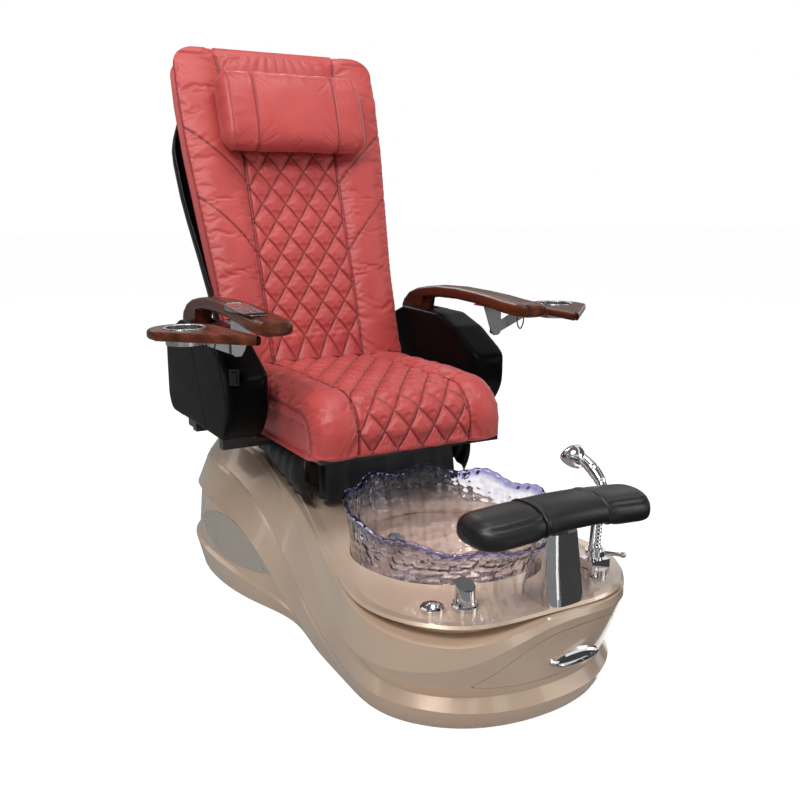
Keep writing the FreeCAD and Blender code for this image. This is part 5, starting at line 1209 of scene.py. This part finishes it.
def build_pad():
    shares = np.sin(np.linspace(math.pi / 2 * 0.992, -math.pi / 2 * 0.992, 170))
    grid = np.array([pad_section(s, 0.0) for s in shares])
    grid = np.concatenate([pad_cap(grid[0], 1)[::-1], grid, pad_cap(grid[-1], -1)])
    round_share = (np.arange(PAD_AROUND) + 0.5) / PAD_AROUND
    side = valley((round_share - 0.395) * PAD_GIRTH, 5.0)[None, :]
    ridge = valley((round_share - 0.365) * PAD_GIRTH, 7.0)[None, :]
    fade = np.clip((0.97 - np.abs(np.concatenate([[1] * 3, shares, [1] * 3]))) * 8, 0, 1)[:, None]
    grid = grid + grid_normals(grid) * ((1.3 * ridge - 1.3 * side) * fade)[..., None]
    # The seam attribute carries painted shade in the groove along the pad's side.
    piece = link_grid("leg_pad_soft", grid, BLACK, "footrest", side * fade * 0.3)
    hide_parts("leg_pad")


def build_band():
    shares = np.concatenate([np.linspace(0.365, 0.345, 5), np.linspace(0.335, -0.335, 46),
                             np.linspace(-0.345, -0.365, 5)])
    grow = np.concatenate([(1.4, 3.4, 4.4, 4.7, 4.2), np.full(46, 3.6), (4.2, 4.7, 4.4, 3.4, 1.4)])
    outer = np.array([pad_section(s, g) for s, g in zip(shares, grow)])
    inner = np.array([pad_section(s, 0.9) for s in shares[::-1]])
    hem = PAD_LOW - 10 * np.clip((-outer[..., 1] - 754) / 10, 0, 1)
    outer[..., 2] = np.maximum(outer[..., 2], hem)
    grid = np.concatenate([outer, inner])
    rows, columns = grid.shape[:2]
    last = (rows - 1) * columns
    faces = grid_faces(rows, columns, True, False)
    faces += [(last + j, last + (j + 1) % columns, (j + 1) % columns, j) for j in range(columns)]
    piece = link_mesh("leg_pad_wrap", grid.reshape(-1, 3), faces, BLACK, "footrest")
    paint(piece, "seam", np.zeros(grid.shape[:2]))
    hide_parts("leg_pad_band")
    out = grid_normals(outer)
    lines = [(outer[r], out[r]) for r in (9, -10)]
    stitches("leg_pad_stitching", lines, BLACK_THREAD, "footrest", pitch=4.8, long=3.2, thick=0.45)


build_pad()
build_band()


# Black leather skirts under the seat, and the front flap

CLOTH_ROWS = 30
CLOTH_TOP = 424
APRON_FOOT = 305
LIP = ((-150, -100, 50, 200, 320, 420), (262, 276, 317, 355, 372, 384))
SKIRT_FOLDS = ((-96, 12, 7), (-58, 16, 9), (-14, 14, 8), (34, 18, 9), (86, 15, 7), (140, 18, 7),
               (196, 16, 6), (248, 16, 5))
APRON_FOLDS = ((-0.72, 0.05, 5), (-0.5, 0.08, 4), (-0.1, 0.1, 4), (0.32, 0.09, 4), (0.66, 0.06, 5))


def hang(name, grid):
    """Open black sheet with its thickness."""
    piece = link_grid(name, grid, BLACK, "chair", np.zeros(grid.shape[:2]), False)
    skin = piece.modifiers.new("thickness", "SOLIDIFY")
    skin.thickness = 0.0022
    skin.offset = 0.0
    return piece


def stitch_hem(name, grid, axis, side):
    """Stitches along a sheet's foot, on the face that looks to one side of an axis."""
    out = grid_normals(grid, False)
    out *= side * np.sign(out[..., axis].mean())
    along = np.arange(1, grid.shape[1] - 1, 0.5)
    row = np.full(len(along), CLOTH_ROWS - 3.0)
    normals = sample(out, row, along, False)
    lines = [(sample(grid, row, along, False) + normals * 1.2, normals)]
    stitches(name, lines, BLACK_THREAD, "chair", pitch=5.0, long=3.4, thick=0.45)


def build_skirt(side, word):
    y = np.linspace(-122, 296, 90)
    foot = np.interp(y + 100, *LIP) + 11
    curl = np.clip((-y - 96) / 26, 0, 1) ** 2 * 22
    grid = []
    for drop in np.arange(CLOTH_ROWS) / (CLOTH_ROWS - 1):
        folds = sum(h * np.exp(-((y - p - 18 * drop) / w) ** 2) for p, w, h in SKIRT_FOLDS)
        bulge = 15 * math.sin(math.pi * min(1.0, drop * 1.08)) ** 0.8 + folds * drop ** 0.8 * 0.8
        x = side * (231 + bulge - curl * (0.4 + 0.6 * drop))
        grid.append(np.column_stack([x, y, CLOTH_TOP + (foot - CLOTH_TOP) * drop]))
    grid = np.array(grid)
    piece = hang("side_skirt_cloth_" + word, grid)
    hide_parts("side_skirt_" + word)
    stitch_hem("side_skirt_stitching_" + word, grid, 0, side)


def build_apron():
    share = np.linspace(-1, 1, 110)
    turn = np.clip((np.abs(share) - 0.9) / 0.1, 0, 1)
    grid = []
    for drop in np.arange(CLOTH_ROWS) / (CLOTH_ROWS - 1):
        bow = 9 * math.sin(math.pi * 0.62 * drop) + 3 * drop
        folds = sum(h * np.exp(-((share - p) / w) ** 2) for p, w, h in APRON_FOLDS)
        x = share * (186 + 5 * drop) - np.sign(share) * 4 * turn ** 2
        y = -122 - bow - folds * drop - 6 * drop * np.sin(math.pi * turn) + 26 * turn ** 1.6
        z = CLOTH_TOP + (APRON_FOOT - CLOTH_TOP) * drop + 4 * np.cos(5 * share) * drop ** 2
        grid.append(np.column_stack([x, y, z]))
    grid = np.array(grid)
    piece = hang("front_apron_cloth", grid)
    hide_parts("front_apron")
    stitch_hem("front_apron_stitching", grid, 1, -1)


for side, word in SIDES:
    build_skirt(side, word)
build_apron()


# Foot bowl: hammered clear resin with a waved, roped rim

BOWL_Y = -390.0
BOWL_WALL = 6.0
BOWL_FLOOR = 120.0
BOWL_SNUG = (223.5, 205.5)
RIM_Y = BOWL_Y - 16
RIM_HALF = (236.0, 254.0)
RIM_TOP = 346.0
RIM_FALL = 18
RIM_WAVE = 7
WAVES = 10
DENT_SIZE = 17.0
DENT_REACH = 12.5
DENT_SEED = 9176


def cell_dents(points):
    """0 between dents to 1 at the middle of one, for dents scattered one to a cell."""
    base = np.floor(points / DENT_SIZE).astype(np.int64)
    best = np.full(len(points), 1e9)
    for step in np.ndindex(3, 3, 3):
        cell = base + np.array(step) - 1
        mixed = (cell[:, 0] * 73856093) ^ (cell[:, 1] * 19349663) ^ (cell[:, 2] * 83492791) ^ DENT_SEED
        offsets = np.stack([((mixed >> s) & 1023) / 1023.0 for s in (3, 11, 19)], 1)
        middle = (cell + 0.15 + 0.7 * offsets) * DENT_SIZE
        best = np.minimum(best, np.linalg.norm(points - middle, axis=1))
    return np.clip(1 - (best / DENT_REACH) ** 2, 0, 1)


def bowl_profile():
    """(middle y, half x, half y, level, fall, wave) from the outer floor over the rim to the inner."""
    snug_x, snug_y = BOWL_SNUG
    rim_x, rim_y = RIM_HALF
    outer = [(BOWL_Y, 168, 150, BOWL_FLOOR, 0, 0), (BOWL_Y, 198, 180, BOWL_FLOOR + 22, 0, 0),
             (BOWL_Y, 214, 197, BOWL_FLOOR + 68, 0, 0), (BOWL_Y, snug_x, snug_y, 224, 0, 0),
             (BOWL_Y, snug_x, snug_y, 266, 0, 0), (BOWL_Y - 8, snug_x + 6, snug_y + 22, 300, 6, 2),
             (RIM_Y, rim_x - 6, rim_y - 8, RIM_TOP - 14, RIM_FALL, RIM_WAVE)]
    rim = [(RIM_Y, rim_x + grow, rim_y + grow, RIM_TOP - down, RIM_FALL, RIM_WAVE)
           for grow, down in ((3, 7), (0, 0), (-10, 1))]
    inner = [(c, x - BOWL_WALL, y - BOWL_WALL, z + 1, f, w) for c, x, y, z, f, w in outer[:0:-1]]
    inside = BOWL_FLOOR + BOWL_WALL
    rows = [(BOWL_Y, 4, 4, BOWL_FLOOR, 0, 0), (BOWL_Y, 90, 80, BOWL_FLOOR, 0, 0)] + outer + rim + inner
    rows += [(BOWL_Y, x, y, inside, 0, 0) for x, y in ((162, 144), (90, 80), (4, 4))]
    rows = np.array(rows, float)
    run = run_along(rows[:, [1, 3]])
    at = np.linspace(0, run[-1], 330)
    return softened(np.stack([np.interp(at, run, rows[:, k]) for k in range(6)], 1), 6)


def build_bowl():
    profile = bowl_profile()
    turn = turns(460, 0)
    ripple = np.cos(WAVES * turn)
    grid = []
    for middle, half_x, half_y, level, fall, wave in profile:
        swell = 1 + 0.5 * wave * ripple / half_x
        grid.append(np.column_stack([half_x * swell * np.cos(turn), middle + half_y * swell * np.sin(turn),
                                     level + fall * np.sin(turn) + wave * ripple]))
    grid = np.array(grid)
    height = grid[..., 2]
    crest = RIM_TOP - 26 + RIM_FALL * np.sin(turn) + RIM_WAVE * ripple
    near_rim = np.clip((height - crest[None, :]) / 16, 0, 1) * (profile[:, 3] > 312)[:, None]
    dents = cell_dents(grid.reshape(-1, 3)).reshape(grid.shape[:2])
    rope = np.sin(turn * RIM_HALF[0] / 4.4)[None, :] * np.clip(near_rim * 1.4 - 0.3, 0, 1)
    inside = (np.arange(len(grid)) > len(grid) / 2)[:, None]
    snug = ~inside & (height > 216) & (height < 272)
    deep = np.where(inside, 3.3, 1.7) * np.where(snug, 0.25, 1.0) * (1 - near_rim)
    grid = grid + grid_normals(grid) * (1.1 * rope - deep * dents)[..., None]
    rows, columns = grid.shape[:2]
    faces = grid_faces(rows, columns, True, False) + end_faces(rows, columns)
    piece = link_mesh("foot_bowl_hammered", grid.reshape(-1, 3), faces, finish("clear_resin"), "base")
    paint(piece, "rim", near_rim * 0.9)
    # Painted shade along the ridges between the dents, read by the resin as the ridge attribute.
    paint(piece, "ridge", (1 - dents) ** 2 * (1 - near_rim) * 0.55)
    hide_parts("foot_bowl")
    piece.visible_shadow = False


build_bowl()


# Armrest pods: upholstered housings with soft edges, and seams laid on their own surface

POD_VOXEL = 0.0032
POD_SOFTENING = 60
POD_CHIN = 0.54
POD_FRONT = 0.16
POD_SEAMS = [[(244, 668), (226, 635), (190, 565), (152, 497), (128, 444)],
             [(40, 668), (14, 622), (-14, 580), (-30, 536), (-18, 486), (10, 446)]]


def skin_tree(mesh):
    return BVHTree.FromPolygons([v.co for v in mesh.vertices], [p.vertices for p in mesh.polygons])


def build_pod(word):
    """A copy of the CAD housing, softened, with its lower front drawn back."""
    mesh = NODES["armrest_pod_" + word].data.copy()
    mesh.name = "armrest_pod_leather_" + word
    mesh.materials.clear()
    mesh.materials.append(SHADED_POD_LEATHER)
    piece = place_object("armrest_pod_leather_" + word, mesh)
    cubes = piece.modifiers.new("cubes", "REMESH")
    cubes.mode = "VOXEL"
    cubes.voxel_size = POD_VOXEL
    cubes.use_smooth_shade = True
    soft = piece.modifiers.new("soft", "SMOOTH")
    soft.factor = 0.5
    soft.iterations = POD_SOFTENING
    ready = piece.evaluated_get(bpy.context.evaluated_depsgraph_get())
    rounded = bpy.data.meshes.new_from_object(ready)
    piece.modifiers.clear()
    piece.data = rounded
    for point in rounded.vertices:
        low = max(0.0, POD_CHIN - point.co.z) / 0.10
        ahead = max(0.0, min(1.0, (POD_FRONT - point.co.y) / 0.2))
        point.co.y += 0.05 * low ** 2 * ahead
    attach(piece, "chair")
    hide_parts("armrest_pod_" + word)
    return skin_tree(rounded)


def on_skin(tree, points):
    """Points and normals of a surface nearest to points in millimetres."""
    hits = [tree.find_nearest(Vector(point) * MM)[:2] for point in points]
    return np.array([spot for spot, _ in hits]) / MM, np.array([way for _, way in hits])


def sew_pod(tree, side, word):
    lines, cords = [], []
    for seam, shifts in zip(POD_SEAMS, ((3.0,), (-3.0, 3.0))):
        run = smooth_loop([(side * 384, y, z) for y, z in seam], 120, 6)
        lines += [on_skin(tree, run + (0, shift, 0)) for shift in shifts]
        points, normals = on_skin(tree, run)
        cords.append((points - normals * 0.35, False))
    stitches("pod_stitching_" + word, lines, BLACK_THREAD, "chair", pitch=4.6, long=3.2, thick=0.5)
    tube("pod_seams_" + word, cords, 0.9, POD, "chair", sides=8)


pods = [build_pod(word) for _, word in SIDES]
for pod, (side, word) in zip(pods, SIDES):
    sew_pod(pod, side, word)


# Bag hooks under the cup trays

HOOK_PLACE = (425.0, -66.0, 706.0)
HOOK_TURN = 2.75


def build_hook(side, word):
    x, y, z = HOOK_PLACE
    points = []
    for turn in np.linspace(-HOOK_TURN, HOOK_TURN, 60):
        reach = 9.5 * math.sin(turn) * (1.1 - 0.25 * math.cos(turn))
        points.append((side * x + reach, y, z - 18 - 20 * math.cos(turn)))
    plain = finish("black_plastic")
    tube("bag_hook_" + word, [(points, False)], 1.8, plain, "side_tray_" + word, sides=12)


for side, word in SIDES:
    build_hook(side, word)


# Spray handset: a turned head on a bent, ringed handle

HANDLE_WAY = np.array((0.3404, 0.3004, 0.8911))
HANDLE_FOOT = np.array((206.0, -648.0, 292.0)) + HANDLE_WAY * 98
HANDLE_RADII = ((0, 0.05, 0.12, 0.16, 0.2, 0.3, 0.36, 0.4, 0.55, 0.62, 0.64, 0.66, 0.8, 1.0),
                (11.5, 12, 12, 15, 12, 10.5, 10.5, 12.2, 13.6, 13.8, 12.6, 13.8, 13.0, 12.0))
SPRAY_HEAD = np.array((233.0, -533.0, 457.0))
SPRAY_WAY = unit(np.array((-0.70, -0.30, -0.65)))
BELL = ((-29, 1.2), (-28.6, 3.6), (-27, 4.4), (-24, 4.4), (-22.5, 4.0), (-21.5, 7.5), (-19, 12),
        (-14, 17.5), (-6, 22.5), (3, 25.8), (11, 27.4), (15, 27.6), (17, 26.9), (17.8, 25.4), (18, 23.4),
        (16.6, 22.6), (16.4, 14), (16.4, 2))
NOZZLE_RINGS = ((5.5, 6), (11.5, 12), (17.5, 18))


def turned(path, radii, sides=40):
    """Points and faces of a round bar that changes radius along its path."""
    path = np.asarray(path, float)
    ahead = units(np.gradient(path, axis=0))
    side = np.cross(ahead[0], (0.3, 0.9, 0.2))
    turn = turns(sides, 0)[:, None]
    points = []
    for spot, way, radius in zip(path, ahead, radii):
        side = unit(side - way * (side @ way))
        up = np.cross(way, side)
        points.append(spot + radius * (np.cos(turn) * side + np.sin(turn) * up))
    faces = grid_faces(len(path), sides, True, False) + end_faces(len(path), sides)
    return np.concatenate(points), faces


def build_handset():
    bend = [HANDLE_FOOT + HANDLE_WAY * s for s in np.linspace(0, 22, 12)]
    start, stop = bend[-1], SPRAY_HEAD - SPRAY_WAY * 2
    first, second = start + HANDLE_WAY * 14, stop + np.array((16.0, -26.0, -8.0))
    for s in np.linspace(0, 1, 46)[1:]:
        bend.append(start * (1 - s) ** 3 + 3 * first * s * (1 - s) ** 2
                    + 3 * second * s ** 2 * (1 - s) + stop * s ** 3)
    parts = [turned(bend, np.interp(np.linspace(0, 1, len(bend)), *HANDLE_RADII)),
             turned([SPRAY_HEAD + SPRAY_WAY * s for s, _ in BELL], [r for _, r in BELL], 56)]
    across = unit(np.cross(SPRAY_WAY, (0, 0, 1)))
    other = np.cross(SPRAY_WAY, across)
    for ring, number in NOZZLE_RINGS:
        for turn in turns(number, 0):
            spot = SPRAY_HEAD + across * ring * math.cos(turn) + other * ring * math.sin(turn)
            parts.append(turned([spot + SPRAY_WAY * s for s in (15.9, 17.2, 17.6)], (1.1, 0.9, 0.4), 8))
    piece = link_mesh("spray_handset_turned", *joined(parts), finish("chrome"), "handset")
    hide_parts("spray_handset")


build_handset()


# Remote in the right arm: a shallow case that follows the wood, with a bright edge and keys

REMOTE_X = -352.0
REMOTE_Y = -98.0
REMOTE_HALF = 25.6
REMOTE_REACH = 84.6
REMOTE_RUN = np.linspace(REMOTE_Y - 90, REMOTE_Y + 90, 25)
WOOD_TOP = 775.0
POCKET_FLOOR = 762.5 - 3.6
POCKET_SLOPE = -0.0629
KEYS = [(-14 + 14 * column, -66 + 17 * row, 4.6) for row in range(5) for column in range(3)]
KEYS.append((0, 44, 11.5))


def arm_crown():
    """Height of the armrest's top along the remote, read on the left arm, which has no pocket."""
    tree = skin_tree(NODES["arm_left"].data)
    tops = [tree.ray_cast(Vector((-REMOTE_X, y, 1000.0)) * MM, Vector((0, 0, -1)))[0].z / MM
            for y in REMOTE_RUN]
    return np.minimum(np.array(tops), WOOD_TOP)


def remote_loop(crown, inset, drop):
    """Ring round the remote's top, so far in from its edge and so far down."""
    turn = turns(96)
    x = squared(np.sin(turn), 0.3) * (REMOTE_HALF - inset)
    y = squared(np.cos(turn), 0.3) * (REMOTE_REACH - inset) + REMOTE_Y
    return np.column_stack([REMOTE_X + x, y, remote_top(crown, x, y) - drop])


def remote_top(crown, x, y):
    return np.interp(y, REMOTE_RUN, crown) - 0.0016 * x ** 2 + 2.4


def build_remote():
    crown = arm_crown()
    grid = np.array([remote_loop(crown, inset, drop)
                     for inset, drop in ((0, 15.0), (0, 6.0), (0, 1.2), (0.5, 0.4), (1.4, 0.0), (6, 0),
                                         (12, 0), (18, 0), (24, 0))])
    floor = POCKET_FLOOR + POCKET_SLOPE * (grid[..., 1] - REMOTE_Y)
    grid[..., 2] = np.maximum(grid[..., 2], floor)
    faces = grid_faces(*grid.shape[:2], True, True)
    case = link_mesh("remote_case", grid.reshape(-1, 3), faces, finish("panel_plastic"), "armrest_right")
    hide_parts("control_panel")
    rim = remote_loop(crown, 1.6, -0.1)
    tube("remote_trim", [(rim, True)], 1.15, finish("steel"), "armrest_right", sides=8)
    keys = []
    for x, y, radius in KEYS:
        base = np.array((REMOTE_X + x, REMOTE_Y + y, remote_top(crown, x, REMOTE_Y + y)))
        keys.append(turned([base + (0, 0, h) for h in (-1.2, 0.5, 1.0, 1.3)],
                           (radius, radius, radius * 0.86, radius * 0.4), 24))
    link_mesh("remote_keys", *joined(keys), finish("clear_plastic"), "armrest_right")


build_remote()


# Back shell: a dished black cover behind the back cushion

SHELL_HALF = ((0, 120, 213, 313, 415, 483, 585, 619, 652, 700, 740, 790, 830, 858, 868),
              (246, 258, 267, 281, 297, 306, 313, 311, 302, 283, 270, 254, 238, 212, 180))
SHELL_WALL = 4.0


def shell_skin(heights, wall):
    """Half rings of the shell from foot to top, drawn in by a wall."""
    arch = np.linspace(0, math.pi, 61)
    rows = []
    for height in heights:
        half = np.interp(height, *SHELL_HALF) - wall
        trim = 26 * max(0.0, (60 - height) / 34) ** 2 + 22 * max(0.0, (height - 820) / 48) ** 2
        rim = 62 + 24 * np.clip((height - 600) / 80, 0, 1) + 24 * np.clip((130 - height) / 80, 0, 1)
        x = squared(np.cos(arch), 0.5) * (half - trim * 0.4)
        v = rim + np.sin(arch) ** 0.5 * (148 - rim - trim - wall)
        level = height + (wall if height < 400 else -wall)
        rows.append(np.column_stack([x, v, np.full(len(arch), level)]))
    return np.array(rows)


def build_back_shell():
    heights = np.concatenate([np.linspace(26, 60, 8), np.linspace(72, 820, 60), np.linspace(828, 868, 10)])
    outer, inner = shell_skin(heights, 0.0), shell_skin(heights, SHELL_WALL)
    rows, columns = outer.shape[:2]
    faces = grid_faces(rows, columns, False, False)
    shift = rows * columns
    faces += [tuple(shift + k for k in reversed(face)) for face in list(faces)]
    last = (rows - 1) * columns
    rim = [i * columns for i in range(rows)] + [last + j for j in range(1, columns)]
    rim += [(i + 1) * columns - 1 for i in range(rows - 2, -1, -1)] + list(range(columns - 2, 0, -1))
    for a, b in zip(rim, rim[1:] + rim[:1]):
        faces.append((a, b, shift + b, shift + a))
    points = leaned(np.concatenate([outer.reshape(-1, 3), inner.reshape(-1, 3)]))
    piece = link_mesh("back_shell_cover", points, faces, BLACK, "back")
    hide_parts("back_shell")


build_back_shell()
